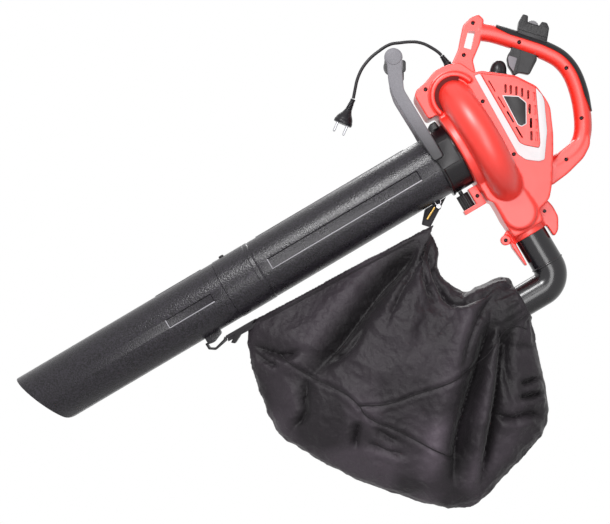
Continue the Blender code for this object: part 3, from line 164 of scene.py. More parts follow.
matt.inputs["Color"].default_value = (0.9, 0.9, 0.9, 1)
clear = made.new("ShaderNodeBsdfTransparent")
mixed = made.new("ShaderNodeMixShader")
links.new(fade.outputs["Result"], mixed.inputs[0])
links.new(matt.outputs[0], mixed.inputs[1])
links.new(clear.outputs[0], mixed.inputs[2])
links.new(mixed.outputs[0], made.new("ShaderNodeOutputMaterial").inputs["Surface"])
floor_mesh.materials.append(floor_paint)
print("floor", FLOOR_RADIUS, "m in radius at", FLOOR_LEVEL)

# %% [markdown]
# ## Tools for shapes
#
# The rigid pieces are drawn in the machine's own axes: u runs along the suction tube towards the
# motor, v runs across it and y comes from the far side to the near one with a minus sign. A matrix
# leans the finished mesh as the tool is held. The helpers below make the usual forms: a flat outline
# with thickness, a turned profile, a rod, a bent tube, and the Boolean steps that put them together.

# %% Shape helpers
LEAN = math.radians(30.6)
GRIP_MIDDLE = (0.1715, 0.108)
TO_WORLD = Matrix.Rotation(-LEAN, 4, "Y") @ Matrix.Translation((-GRIP_MIDDLE[0], 0, -GRIP_MIDDLE[1]))
SEAT = 0.0003
FACINGS = {
    "y": Matrix(((1, 0, 0, 0), (0, 0, -1, 0), (0, 1, 0, 0), (0, 0, 0, 1))),
    "u": Matrix(((0, 0, 1, 0), (1, 0, 0, 0), (0, 1, 0, 0), (0, 0, 0, 1))),
    "v": Matrix(),
}


def loose(name, data):
    obj = bpy.data.objects.new(name, data)
    bpy.context.scene.collection.objects.link(obj)
    return obj


def drop(obj):
    bpy.data.objects.remove(obj, do_unlink=True)


def settle(obj):
    """Replaces an object by its own evaluated mesh, with its place baked in."""
    bpy.context.view_layer.update()
    graph = bpy.context.evaluated_depsgraph_get()
    mesh = bpy.data.meshes.new_from_object(obj.evaluated_get(graph))
    mesh.transform(obj.matrix_world)
    made = loose(obj.name, mesh)
    drop(obj)
    return made


def weld(obj, dissolve=False):
    work = bmesh.new()
    work.from_mesh(obj.data)
    bmesh.ops.remove_doubles(work, verts=work.verts, dist=0.000002)
    if dissolve:
        bmesh.ops.dissolve_limit(work, angle_limit=math.radians(0.5), verts=work.verts, edges=work.edges)
    bmesh.ops.recalc_face_normals(work, faces=work.faces)
    work.to_mesh(obj.data)
    work.free()
    return obj


def at(u, v, y=0.0):
    return (u, y, v)


def rounded(points, radius, steps=5):
    """The outline with an arc in place of each corner, as far as its sides allow."""
    made = []
    count = len(points)
    for i in range(count):
        before, here, after = (Vector(points[(i + j) % count]) for j in (-1, 0, 1))
        reach = min(radius, (before - here).length * 0.42, (after - here).length * 0.42)
        start = here + (before - here).normalized() * reach
        end = here + (after - here).normalized() * reach
        for k in range(steps + 1):
            t = k / steps
            made.append(tuple(start.lerp(here, t).lerp(here.lerp(end, t), t)))
    return made


def offset(points, distance):
    """The outline moved outward by a distance, or inward if it is negative."""
    count = len(points)
    area = sum(points[i][0] * points[(i + 1) % count][1] - points[(i + 1) % count][0] * points[i][1]
               for i in range(count))
    side = 1 if area > 0 else -1
    made = []
    for i in range(count):
        before, here, after = (Vector(points[(i + j) % count]) for j in (-1, 0, 1))
        first = (here - before).normalized()
        second = (after - here).normalized()
        normal_a = Vector((first.y, -first.x)) * side
        normal_b = Vector((second.y, -second.x)) * side
        middle = (normal_a + normal_b).normalized()
        made.append(tuple(here + middle * (distance / max(0.35, middle.dot(normal_a)))))
    return made


def plate(outline, low, high, across="y", edge=0.0, segments=3):
    """A flat outline with thickness from low to high across one axis, and rims rounded by edge."""
    curve = bpy.data.curves.new("outline", "CURVE")
    curve.dimensions = "2D"
    curve.fill_mode = "BOTH"
    curve.extrude = (high - low) / 2
    spline = curve.splines.new("POLY")
    spline.points.add(len(outline) - 1)
    for point, (a, b) in zip(spline.points, outline):
        point.co = (a, b, 0, 1)
    spline.use_cyclic_u = True
    obj = loose("plate", curve)
    middle = (high + low) / 2
    shift = {"y": (0, middle, 0), "u": (middle, 0, 0), "v": (0, 0, middle)}
    obj.matrix_world = Matrix.Translation(shift[across]) @ FACINGS[across]
    obj = weld(settle(obj), dissolve=True)
    return soften(obj, edge, segments) if edge else obj


def soften(obj, width, segments=3, angle=40):
    bevel = obj.modifiers.new("rounded edges", "BEVEL")
    bevel.width = width
    bevel.segments = segments
    bevel.limit_method = "ANGLE"
    bevel.angle_limit = math.radians(angle)
    bevel.harden_normals = False
    return weld(settle(obj))


def turned(profile, base=(0, 0, 0), towards=(1, 0, 0), sides=96, ring=False):
    """A profile of (distance along the axis, radius), turned about the axis from base."""
    mesh = bpy.data.meshes.new("profile")
    edges = [(i, i + 1) for i in range(len(profile) - 1)]
    if ring:
        edges.append((len(profile) - 1, 0))
    mesh.from_pydata([(radius, 0, along) for along, radius in profile], edges, [])
    obj = loose("turned", mesh)
    screw = obj.modifiers.new("turn", "SCREW")
    screw.axis = "Z"
    screw.steps = sides
    screw.render_steps = sides
    screw.use_merge_vertices = True
    screw.merge_threshold = 0.00001
    obj = settle(obj)
    facing = Vector(towards).to_track_quat("Z", "Y").to_matrix().to_4x4()
    obj.data.transform(Matrix.Translation(base) @ facing)
    return weld(obj)


def rod(start, end, radius, sides=48, end_radius=None):
    start = Vector(start)
    end = Vector(end)
    mesh = bpy.data.meshes.new("rod")
    work = bmesh.new()
    far = radius if end_radius is None else end_radius
    bmesh.ops.create_cone(work, cap_ends=True, segments=sides, radius1=radius, radius2=far,
                          depth=(end - start).length)
    work.to_mesh(mesh)
    work.free()
    facing = (end - start).to_track_quat("Z", "Y").to_matrix().to_4x4()
    mesh.transform(Matrix.Translation((start + end) / 2) @ facing)
    return loose("rod", mesh)


def box(low, high, edge=0.0, segments=3):
    mesh = bpy.data.meshes.new("box")
    work = bmesh.new()
    bmesh.ops.create_cube(work, size=1.0)
    work.to_mesh(mesh)
    work.free()
    size = Vector(high) - Vector(low)
    mesh.transform(Matrix.Translation((Vector(high) + Vector(low)) / 2) @ Matrix.Diagonal((*size, 1)))
    obj = loose("box", mesh)
    return soften(obj, edge, segments) if edge else obj


def tube(points, radius, resolution=7, closed=False):
    """A round bar that follows the points, with filled ends."""
    curve = bpy.data.curves.new("route", "CURVE")
    curve.dimensions = "3D"
    curve.bevel_depth = radius
    curve.bevel_resolution = resolution
    curve.use_fill_caps = True
    curve.twist_mode = "MINIMUM"
    spline = curve.splines.new("POLY")
    spline.points.add(len(points) - 1)
    for point, place in zip(spline.points, points):
        point.co = (*place, 1)
    spline.use_cyclic_u = closed
    return weld(settle(loose("tube", curve)))


def smooth_route(points, spacing):
    """Points at an even spacing on the smooth curve through the given ones."""
    points = [Vector(p) for p in points]
    ends = [points[0] * 2 - points[1], *points, points[-1] * 2 - points[-2]]
    fine = []
    for a, b, c, d in zip(ends, ends[1:], ends[2:], ends[3:]):
        for k in range(24):
            t = k / 24
            fine.append(0.5 * (2 * b + (c - a) * t + (2 * a - 5 * b + 4 * c - d) * t * t
                               + (3 * b - a - 3 * c + d) * t ** 3))
    fine.append(points[-1])
    total = sum((q - p).length for p, q in zip(fine, fine[1:]))
    count = max(2, round(total / spacing))
    made = [fine[0]]
    run = 0.0
    for p, q in zip(fine, fine[1:]):
        step = (q - p).length
        while len(made) < count and run + step >= total * len(made) / count:
            made.append(p.lerp(q, (total * len(made) / count - run) / step))
        run += step
    made.append(fine[-1])
    return made


def combine(obj, others, operation, solver):
    for other in others:
        modifier = obj.modifiers.new("step", "BOOLEAN")
        modifier.operation = operation
        modifier.solver = solver
        modifier.object = other
        obj = settle(obj)
        drop(other)
    return weld(obj)


def join(obj, *others, solver="EXACT"):
    return combine(obj, others, "UNION", solver)


def cut(obj, *others, solver="EXACT"):
    return combine(obj, others, "DIFFERENCE", solver)


def keep(obj, *others, solver="EXACT"):
    return combine(obj, others, "INTERSECT", solver)


def duplicate(obj):
    return loose(obj.name, obj.data.copy())


def mould(obj, voxel, passes):
    """Skins the shape with even small faces and smooths it, which rounds edges and inner corners."""
    skin = obj.modifiers.new("skin", "REMESH")
    skin.mode = "VOXEL"
    skin.voxel_size = voxel
    relax = obj.modifiers.new("relax", "SMOOTH")
    relax.factor = 0.5
    relax.iterations = passes
    return settle(obj)


def sides(inner, outer):
    return ("near", -outer, -inner), ("far", inner, outer)


def piece(obj, name, look, body="machine", replaces=(), upright=False, crease=35):
    """Leans a finished shape into place, gives it its material and hangs it on its body."""
    if not upright:
        obj.data.transform(TO_WORLD)
    obj.name = name
    obj.data.name = name
    obj.data.materials.clear()
    obj.data.materials.append(look)
    obj.data.shade_smooth()
    obj.data.set_sharp_from_angle(angle=math.radians(crease))
    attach(obj, body)
    if replaces:
        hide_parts(*replaces)
    return obj


print("helpers ready")

# %% [markdown]
# ## Materials
#
# Every surface is a small set of nodes. A fine noise is the grain of the mould, a broad one is the
# slight unevenness of colour that any moulded part has, and the sharp convex edges are a touch
# lighter, as if rubbed. All of it is measured in metres, so the grain has its real size everywhere.
# The grey of the handle's arms is painted darker towards their feet, as painted shade for the shade of the
# housing that they stand in.

# %% Material helpers
def linear(*srgb):
    """Turns a colour on the 0 to 255 scale into the linear values that the shader expects."""
    return tuple((c / 255 / 12.92) if c <= 10 else ((c / 255 + 0.055) / 1.055) ** 2.4 for c in srgb)


class Look:
    """A material with a Principled shader, and short ways to wire textures into it."""

    def __init__(self, name, colour, roughness, **settings):
        self.material = bpy.data.materials.new(name)
        self.material.use_nodes = True
        self.made, self.links = new_tree(self.material.node_tree)
        self.shader = self.made.new("ShaderNodeBsdfPrincipled")
        out = self.made.new("ShaderNodeOutputMaterial")
        self.links.new(self.shader.outputs[0], out.inputs["Surface"])
        self.place = self.made.new("ShaderNodeTexCoord").outputs["Object"]
        self.colour = colour
        self.shader.inputs["Base Color"].default_value = (*colour, 1)
        self.shader.inputs["Roughness"].default_value = roughness
        self.roughness = roughness
        self.factors = []
        self.height = None
        for socket, value in settings.items():
            self.shader.inputs[socket.replace("_", " ")].default_value = value

    def math(self, operation, a, b=0.0, c=0.0):
        node = self.made.new("ShaderNodeMath")
        node.operation = operation
        for socket, value in zip(node.inputs, (a, b, c)):
            if isinstance(value, (int, float)):
                socket.default_value = value
            else:
                self.links.new(value, socket)
        return node.outputs[0]

    def stretched(self, scale, turn=(0, 0, 0)):
        """The place in space, turned and scaled, for patterns that run in one direction."""
        node = self.made.new("ShaderNodeMapping")
        node.inputs["Rotation"].default_value = turn
        node.inputs["Scale"].default_value = scale
        self.links.new(self.place, node.inputs["Vector"])
        return node.outputs[0]

    def noise(self, size, detail=2.0, place=None, rough=0.5):
        """Noise from 0 to 1 whose blotches are about the given size in metres."""
        node = self.made.new("ShaderNodeTexNoise")
        node.inputs["Scale"].default_value = 1.0 / size
        node.inputs["Detail"].default_value = detail
        node.inputs["Roughness"].default_value = rough
        self.links.new(place or self.place, node.inputs["Vector"])
        return node.outputs["Factor" if "Factor" in node.outputs else "Fac"]

    def ramp(self, value, low, high, to_low=0.0, to_high=1.0):
        node = self.made.new("ShaderNodeMapRange")
        node.interpolation_type = "SMOOTHSTEP"
        numbers = {"From Min": low, "From Max": high, "To Min": to_low, "To Max": to_high}
        for name, number in numbers.items():
            node.inputs[name].default_value = number
        self.links.new(value, node.inputs["Value"])
        return node.outputs["Result"]

    def shade(self, value, amount):
        """Lightens and darkens the colour by a value that runs from 0 to 1."""
        self.factors.append(self.math("MULTIPLY_ADD", value, 2 * amount, 1 - amount))

    def wear(self, amount):
        """Lightens the sharp convex edges."""
        node = self.made.new("ShaderNodeNewGeometry")
        edge = self.ramp(node.outputs["Pointiness"], 0.52, 0.60)
        self.factors.append(self.math("MULTIPLY_ADD", edge, amount, 1.0))

    def lift(self, value, height):
        """Adds relief of the given height in metres."""
        step = self.math("MULTIPLY", value, height)
        self.height = step if self.height is None else self.math("ADD", self.height, step)

    def finish(self, uneven_gloss=0.08):
        if self.factors:
            total = self.factors[0]
            for factor in self.factors[1:]:
                total = self.math("MULTIPLY", total, factor)
            scaled = self.made.new("ShaderNodeVectorMath")
            scaled.operation = "SCALE"
            scaled.inputs[0].default_value = self.colour
            self.links.new(total, scaled.inputs["Scale"])
            self.links.new(scaled.outputs[0], self.shader.inputs["Base Color"])
        gloss = self.math("MULTIPLY_ADD", self.noise(0.02, 3), uneven_gloss,
                          self.roughness - uneven_gloss / 2)
        self.links.new(gloss, self.shader.inputs["Roughness"])
        if self.height is not None:
            bump = self.made.new("ShaderNodeBump")
            bump.inputs["Distance"].default_value = 1.0
            self.links.new(self.height, bump.inputs["Height"])
            self.links.new(bump.outputs[0], self.shader.inputs["Normal"])
        return self.material


def plastic(name, colour, roughness, grain=0.00004, grain_size=0.0009, speckle=0.06, cloud=0.06, wear=0.25,
            fade=None, **settings):
    look = Look(name, colour, roughness, **settings)
    look.shade(look.noise(0.05, 3), cloud)
    spots = look.ramp(look.noise(grain_size, 2), 0.32, 0.68)
    look.shade(spots, speckle)
    look.wear(wear)
    look.lift(spots, grain)
    # fade darkens the colour along Z by a ramp: painted shade, used on the handle's arms
    if fade:
        split = look.made.new("ShaderNodeSeparateXYZ")
        look.links.new(look.place, split.inputs[0])
        look.factors.append(look.ramp(split.outputs["Z"], *fade))
    return look.finish()


red_plastic = plastic("red_plastic", linear(248, 38, 17), 0.44, grain=0.00001, grain_size=0.0012,
                      speckle=0.02, cloud=0.03, wear=0.06, Coat_Weight=0.9, Coat_Roughness=0.42,
                      Specular_IOR_Level=0.8)
white_plastic = plastic("white_plastic", linear(224, 221, 223), 0.36, grain=0.00001, speckle=0.01,
                        cloud=0.015, wear=0.02)
badge_plastic = plastic("badge_plastic", linear(24, 21, 24), 0.30, grain=0.000004, speckle=0.03, cloud=0.03,
                        Specular_IOR_Level=0.3)
tube_plastic = plastic("grained_black_plastic", linear(33, 30, 36), 0.28, grain=0.00019, grain_size=0.0027,
                       speckle=0.80, cloud=0.12, wear=0.3, Specular_IOR_Level=0.42)
pipe_plastic = plastic("satin_black_pipe", linear(20, 18, 22), 0.22, grain=0.00001, speckle=0.04,
                       Specular_IOR_Level=0.55)
part_plastic = plastic("black_plastic", linear(26, 24, 27), 0.29, grain=0.00003, speckle=0.12,
                       Specular_IOR_Level=0.30)
collar_plastic = plastic("collar_plastic", linear(18, 15, 19), 0.24, grain=0.00008, grain_size=0.0018,
                         speckle=0.18, Specular_IOR_Level=0.38)
# painted highlight: pale grey for the bright line where light catches the panel's lower lip
painted_highlight_plastic = plastic("painted_highlight_lip", linear(162, 160, 166), 0.24, grain=0.00001, speckle=0.05)
# painted shadow: dark red for the sheet that stands for the shade under each hood
shadow_sheet_plastic = plastic("painted_shadow_dark_red", linear(92, 12, 12), 0.6, speckle=0.05, Specular_IOR_Level=0.2)
# painted shade: the arms' grey darkens towards their feet, where the housing shades them
ARM_PAINTED_SHADE = (-0.225, -0.110, 0.14, 1.0)
grey_plastic = plastic("grey_plastic", linear(128, 126, 132), 0.40, grain=0.00005, grain_size=0.0016,
                       speckle=0.08, cloud=0.05, wear=0.12, fade=ARM_PAINTED_SHADE, Specular_IOR_Level=0.38)
dial_plastic = plastic("dial_plastic", linear(120, 118, 122), 0.45, grain=0.00003, speckle=0.08)
soft_grip = plastic("soft_grip", linear(27, 25, 28), 0.45, grain=0.00010, grain_size=0.0011, speckle=0.20,
                    cloud=0.08, wear=0.5, Specular_IOR_Level=0.28)
cord_rubber = plastic("cord_rubber", linear(28, 26, 30), 0.34, grain=0.00003, grain_size=0.0007,
                      speckle=0.12, Specular_IOR_Level=0.30)
print("plastics ready")

# %% [markdown]
# ## The power cord
#
# A heavy rubber flex as such tools have, 6 mm thick and short: it only has to reach an extension
# lead. It leaves the housing through a ribbed boot that keeps it from kinking, bows over the front
# handle and hangs down to its plug. Here its whole length shows, so what we see is what we build.

# %% Cord
CORD_RADIUS = 0.0030
CORD_SPACING = 0.0075
CORD_ROUTE = (
    (-0.1583, 0.0, -0.0191), (-0.1632, 0.0, -0.0142), (-0.1700, 0.0, -0.0092), (-0.1800, 0.0, -0.0032),
    (-0.1900, 0.0, 0.0018), (-0.2040, 0.0, 0.0054), (-0.2200, 0.0, 0.0056), (-0.2370, 0.0, 0.0038),
    (-0.2490, 0.0, 0.0024), (-0.2600, 0.0, -0.0020), (-0.2730, 0.0, -0.0105), (-0.2900, 0.0, -0.0245),
    (-0.3050, 0.0, -0.0435), (-0.3140, 0.0, -0.0640), (-0.3180, 0.0, -0.0820), (-0.3213, 0.0, -0.0990),
)
cord_path = smooth_route(CORD_ROUTE, CORD_SPACING)
cord_fine = smooth_route(cord_path, 0.002)
cord = piece(tube(cord_fine, CORD_RADIUS, 6), "cord", cord_rubber, replaces=["power_cord"],
             upright=True)

# %% [markdown]
# ## Boot and plug
#
# Both are rubber moulded onto the cord. The boot is a short taper with a flange at its foot and
# grooves that let it bend. The plug is a round two-pin one: a ribbed strain relief, a waist for the
# fingers and a wide rim round the flat face. Each is one profile turned about its own axis.

# %% Boot and plug
BOOT_BASE = Vector((0.0281, 0, 0.1380))
BOOT_TIP = Vector((0.0256, 0, 0.1711))
PLUG_START = Vector((-0.3216, 0, -0.1005))
PLUG_LEAN = math.radians(23.6)
PLUG_LENGTH = 0.050
PIN_RADIUS = 0.0024
PIN_LENGTH = 0.019
PIN_SPACING = 0.019
PIN_ROOT = 0.004


def ribbed(start, end, first, last, count, depth):
    """Profile points of a taper with rounded grooves between its ribs."""
    points = []
    for i in range(count):
        for share, sunk in ((0.0, 0.0), (0.45, 0.0), (0.55, 0.6), (0.72, 1.0), (0.9, 0.6)):
            t = (i + share) / count
            points.append((start + (end - start) * t, first + (last - first) * t - depth * sunk))
    points.append((end, last))
    return points


boot_length = (BOOT_TIP - BOOT_BASE).length
boot_profile = [(0, 0), (0, 0.0066), (0.0120, 0.0066), (0.0135, 0.0072), (0.0160, 0.0072), (0.0172, 0.0062),
                *ribbed(0.0180, boot_length - 0.003, 0.0062, 0.0046, 5, 0.0009),
                (boot_length - 0.0008, 0.0044), (boot_length, 0.0038), (boot_length, 0)]
boot = turned(boot_profile, BOOT_BASE, BOOT_TIP - BOOT_BASE, 64)
piece(boot, "boot", cord_rubber, replaces=["cord_boot"])

plug_down = Vector((-math.sin(PLUG_LEAN), 0, -math.cos(PLUG_LEAN)))
plug_aside = Vector((math.cos(PLUG_LEAN), 0, -math.sin(PLUG_LEAN)))
plug_profile = [(0, 0), (0, 0.0042), (0.0006, 0.0049), (0.0024, 0.0049), (0.0032, 0.0040),
                *ribbed(0.0042, 0.0215, 0.0046, 0.0066, 6, 0.0010),
                (0.0245, 0.0074), (0.0290, 0.0096), (0.0335, 0.0128), (0.0375, 0.0150), (0.0405, 0.0160),
                (0.0425, 0.0164), (0.0436, 0.0172), (0.0445, 0.0175), (0.0488, 0.0175), (0.0497, 0.0171),
                (PLUG_LENGTH, 0.0164), (PLUG_LENGTH, 0)]
plug = turned(plug_profile, PLUG_START, plug_down, 96)
plug_face = PLUG_START + plug_down * PLUG_LENGTH
for side in (-1, 1):
    hole = plug_face + side * plug_aside * PIN_SPACING / 2
    plug = cut(plug, rod(hole - plug_down * (PIN_ROOT + SEAT), hole + plug_down * 0.002,
                         PIN_RADIUS + 0.0002, 32))
piece(plug, "mains_plug", cord_rubber, replaces=["plug"], upright=True)

steel = Look("steel", linear(190, 190, 194), 0.28, Metallic=1.0)
steel.lift(steel.noise(0.0010, 3, steel.stretched((1, 1, 12))), 0.00001)
steel.shade(steel.noise(0.004, 3), 0.08)
steel_look = steel.finish()
for name, side in (("left", -1), ("right", 1)):
    foot = plug_face + side * plug_aside * PIN_SPACING / 2 - plug_down * PIN_ROOT
    whole = PIN_ROOT + PIN_LENGTH
    pin = turned([(0, 0), (0, PIN_RADIUS), (whole - 0.0022, PIN_RADIUS),
                  (whole - 0.0012, PIN_RADIUS - 0.0003), (whole - 0.0004, PIN_RADIUS - 0.0010),
                  (whole, PIN_RADIUS - 0.0018), (whole, 0)], foot, plug_down, 40)
    piece(pin, "pin_" + name, steel_look, replaces=["plug_pin_" + name],
                      upright=True)

# %% [markdown]
# ## The housing, piece by piece
#
# A real housing of this kind is two injection-moulded shells. Their walls follow the fan drum, the
# motor room, the outlet duct and the looped grip, and every inner corner has a fillet, because the
# tool that cuts the mould can't make a sharp one. We build the same masses from turned and flat
# forms first, as one solid, with all the hollows that the fan and the motor need. On each side a
# raised band curls round the upper end of the drum's bulge, like a hood over it.

# %% Sizes of the housing
TUBE_RADIUS = 0.057
TUBE_WALL = 0.0028
DRUM_FRONT = -0.028
DRUM_BACK = 0.032
DRUM_RADIUS = 0.131
DRUM_WALL = 0.004
DISC_FRONT = -0.043
DISC_RADIUS = 0.084
BODY_HALF = 0.048
TAIL_HALF = 0.034
TAIL_TOP = -0.050
DUCT_U = -0.002
DUCT_RADIUS = 0.0330
DUCT_BORE = 0.0275
DUCT_END = -0.197
BARREL_TOP = -0.075
BARREL_END = -0.150
BARREL_HALF = 0.043
BODY = (
    (-0.0600, 0.0790), (-0.0600, 0.1280), (-0.0520, 0.1365), (-0.0320, 0.1395),
    (-0.0050, 0.1500), (0.0190, 0.1480), (0.0420, 0.1400), (0.0560, 0.1100),
    (0.0680, 0.1070), (0.1167, 0.0682), (0.1403, 0.0319), (0.1432, 0.0034),
    (0.1425, -0.0140), (0.1225, -0.0585), (0.1070, -0.0860), (0.0735, -0.1385),
    (0.0580, -0.1570), (0.0310, -0.1640), (0.0290, -0.1860), (-0.0330, -0.1860),
    (-0.0360, -0.1500), (-0.0330, -0.1120), (-0.0405, -0.1040), (-0.0405, 0.0790),
)
BAR_RADIUS = 0.0165
BAR_ROUTE = (
    (0.1060, 0.1752), (0.1280, 0.1568), (0.1514, 0.1312), (0.1715, 0.1080), (0.1920, 0.0832),
    (0.2095, 0.0534), (0.2145, 0.0208), (0.2080, -0.0168), (0.1952, -0.0522), (0.1785, -0.0825),
    (0.1580, -0.1010), (0.1330, -0.1080), (0.1000, -0.1080),
)
GRIP_FOOT = (
    (0.1870, -0.0900), (0.1765, -0.1105), (0.1540, -0.1250), (0.1130, -0.1355), (0.0740, -0.1395),
    (0.0740, -0.1100), (0.1200, -0.0930), (0.1500, -0.0880),
)
POST = (
    (0.1045, 0.2035), (0.0865, 0.1985), (0.0570, 0.1655), (0.0340, 0.1490), (0.0100, 0.1300),
    (0.0580, 0.0980), (0.0690, 0.1330), (0.0960, 0.1530), (0.1250, 0.1880), (0.1210, 0.2010),
)
POST_HALF = 0.0155
FOOT_HALF = 0.0155
WEB_HALF = 0.007
WING_HALF = 0.012
SKIRT_HALF = 0.014
STRAP_SLOT = ((0.0895, 0.1852), (0.1004, 0.1772), (0.0764, 0.1515), (0.0662, 0.1620))
EAR_SCREW = (-0.0468, -0.1829)
EAR_HALF = 0.009
WING_SCREW = (0.0390, -0.1720)
WING = (
    (0.0200, -0.1500), (0.0560, -0.1550), (0.0600, -0.1720), (0.0590, -0.1940), (0.0460, -0.2160),
    (0.0330, -0.2230), (0.0318, -0.1980), (0.0250, -0.1900),
)
SKIRT = (
    (-0.0410, -0.1880), (-0.0345, -0.1980), (-0.0362, -0.2420), (-0.0400, -0.2420), (-0.0440, -0.2000),
)
HOOD_INSIDE = 0.0054
HOOD_OUTSIDE = 0.0138
HOOD_RISE = 0.0068
HOOD_START = 10
HOOD_END = 205
HOOD_GROOVE_START = 115
# the dark sheet under each hood is painted shadow
SHADOW_SHEET_RISE = 0.0044
SHADOW_SHEET_START = 45
SHADOW_SHEET_INSIDE = -0.0045
GROOVE_REACH = 0.0016
GROOVE_RADIUS = 0.0038


def drum_profile(front, back, radius, steps=26):
    half = (back - front) / 2
    middle = (back + front) / 2
    angles = [math.pi * k / steps for k in range(steps + 1)]
    return [(middle - half * math.cos(a), radius - half + half * math.sin(a)) for a in angles]


def arc(reach, low, high, step):
    """Points round the drum's upper end, at a distance from it, for angles in degrees."""
    middle = (DRUM_FRONT + DRUM_BACK) / 2
    half = (DRUM_BACK - DRUM_FRONT) / 2
    centre = math.sqrt(DRUM_RADIUS ** 2 - BODY_HALF ** 2) - half
    return [(middle + (half + reach) * math.cos(a), centre + (half + reach) * math.sin(a))
            for a in (math.radians(d) for d in range(low, high + 1, step))]


def arc_on_face(reach, low, high, y, step=6):
    """An arc round the drum's upper end, on a face of the body."""
    return [at(u, v, y) for u, v in arc(reach, low, high, step)]


def band_on_face(inside, outside, low, high, step=5):
    """The outline of a band round the drum's upper end, between two distances from the drum."""
    return arc(outside, low, high, step) + arc(inside, low, high, step)[::-1]


# %% Build the housing's masses
clock = time.time()
body = plate(rounded(BODY, 0.007, 6), -BODY_HALF, BODY_HALF)
slope = (BODY_HALF - TAIL_HALF) / (DUCT_END - TAIL_TOP)
for side in (-1, 1):
    wedge = [(side * (BODY_HALF + 0.0004), TAIL_TOP), (side * (BODY_HALF + 0.03), TAIL_TOP),
             (side * (BODY_HALF + 0.03), DUCT_END - 0.02),
             (side * (TAIL_HALF + slope * 0.02), DUCT_END - 0.02)]
    body = cut(body, plate(wedge, -0.1, 0.2, "u"))
body = soften(body, 0.005, 4, 50)
drum = turned([(DISC_FRONT, 0), (DISC_FRONT, DISC_RADIUS - 0.003),
               (DISC_FRONT + 0.001, DISC_RADIUS - 0.0012), (DISC_FRONT + 0.003, DISC_RADIUS),
               (DRUM_FRONT, DISC_RADIUS),
               *drum_profile(DRUM_FRONT, DRUM_BACK, DRUM_RADIUS), (DRUM_BACK, 0)], sides=200)
barrel_outline = [(DUCT_U - DUCT_RADIUS * math.cos(a), BARREL_END - DUCT_RADIUS * math.sin(a))
                  for a in (math.pi * k / 24 for k in range(25))]
barrel_outline += [(DUCT_U + DUCT_RADIUS, BARREL_TOP), (DUCT_U - DUCT_RADIUS, BARREL_TOP)]
barrel = plate(barrel_outline, -BARREL_HALF, BARREL_HALF, edge=0.007, segments=5)
neck = rod(at(DUCT_U, BARREL_END), at(DUCT_U, DUCT_END), DUCT_RADIUS, 96)
post = plate(rounded(POST, 0.0025), -POST_HALF, POST_HALF, edge=0.003)
loop = tube(smooth_route([at(u, v) for u, v in BAR_ROUTE], 0.006), BAR_RADIUS, 10)
foot = plate(rounded(GRIP_FOOT, 0.008), -FOOT_HALF, FOOT_HALF, edge=0.004)
ear = rod(at(*EAR_SCREW, -EAR_HALF), at(*EAR_SCREW, EAR_HALF), 0.0095, 40)
web = plate(((-0.0460, -0.1905), (-0.0300, -0.1965), (-0.0300, -0.1650), (-0.0460, -0.1735)),
            -WEB_HALF, WEB_HALF)
wing = plate(rounded(WING, 0.006), -WING_HALF, WING_HALF, edge=0.002)
skirt = plate(SKIRT, -SKIRT_HALF, SKIRT_HALF, edge=0.0008)
hood = band_on_face(HOOD_INSIDE, HOOD_OUTSIDE, HOOD_START, HOOD_END)
rims = [plate(hood, low, high, edge=0.0022, segments=4)
        for _, low, high in sides(BODY_HALF - 0.004, BODY_HALF + HOOD_RISE)]
shell = join(body, drum, barrel, neck, post, loop, foot, ear, web, wing, skirt, *rims)
print(f"masses joined, {len(shell.data.polygons)} faces, {time.time() - clock:.0f} s")

# %% [markdown]
# ## Hollows
#
# About the motor's axis one turned form takes out everything from the inlet to the rear bearing. The
# duct leads down from the drum, and the grip has rooms for the trigger, its switch and its pin.
# Sharp pockets that the smoothing would spoil are cut after it.

# %% Hollow and smooth the housing
MOTOR_RADIUS = 0.042
SHAFT_RADIUS = 0.005
FRONT_BEARING_RADIUS = 0.014
REAR_BEARING_RADIUS = 0.011
MOTOR_ROOM = (0.044, 0.111)
REAR_BEARING_END = 0.1203
GRIP_TILT = math.radians(-48.2)
TRIGGER_PIVOT = (0.0180, 0.0100)
VOXEL = 0.0015


def on_grip(along, into):
    """(u, v) of a point given along the hand grip's bar and into the finger gap."""
    c = math.cos(GRIP_TILT)
    s = math.sin(GRIP_TILT)
    return (GRIP_MIDDLE[0] + along * c + into * s, GRIP_MIDDLE[1] + along * s - into * c)


clock = time.time()
inlet = TUBE_RADIUS - TUBE_WALL
inner_front = DRUM_FRONT + DRUM_WALL
inner_back = DRUM_BACK - DRUM_WALL
bearing_seat = inner_back + 0.0047
bore_profile = [
    (DISC_FRONT - 0.01, 0), (DISC_FRONT - 0.01, inlet), (inner_front, inlet),
    *drum_profile(inner_front, inner_back, DRUM_RADIUS - DRUM_WALL),
    (inner_back, SHAFT_RADIUS + 0.0035), (bearing_seat, SHAFT_RADIUS + 0.0035),
    (bearing_seat, FRONT_BEARING_RADIUS + 0.001), (MOTOR_ROOM[0], FRONT_BEARING_RADIUS + 0.001),
    (MOTOR_ROOM[0], MOTOR_RADIUS + 0.001), (MOTOR_ROOM[1], MOTOR_RADIUS + 0.001),
    (MOTOR_ROOM[1], REAR_BEARING_RADIUS + 0.001), (REAR_BEARING_END + 0.0008, REAR_BEARING_RADIUS + 0.001),
    (REAR_BEARING_END + 0.0008, 0),
]
shell = cut(shell, turned(bore_profile, sides=128),
            rod(at(DUCT_U, -0.095), at(DUCT_U, DUCT_END - 0.02), DUCT_BORE + 0.0003, 64))
shell = mould(shell, VOXEL, 7)
print(f"moulded housing, {len(shell.data.polygons)} faces, {time.time() - clock:.0f} s")
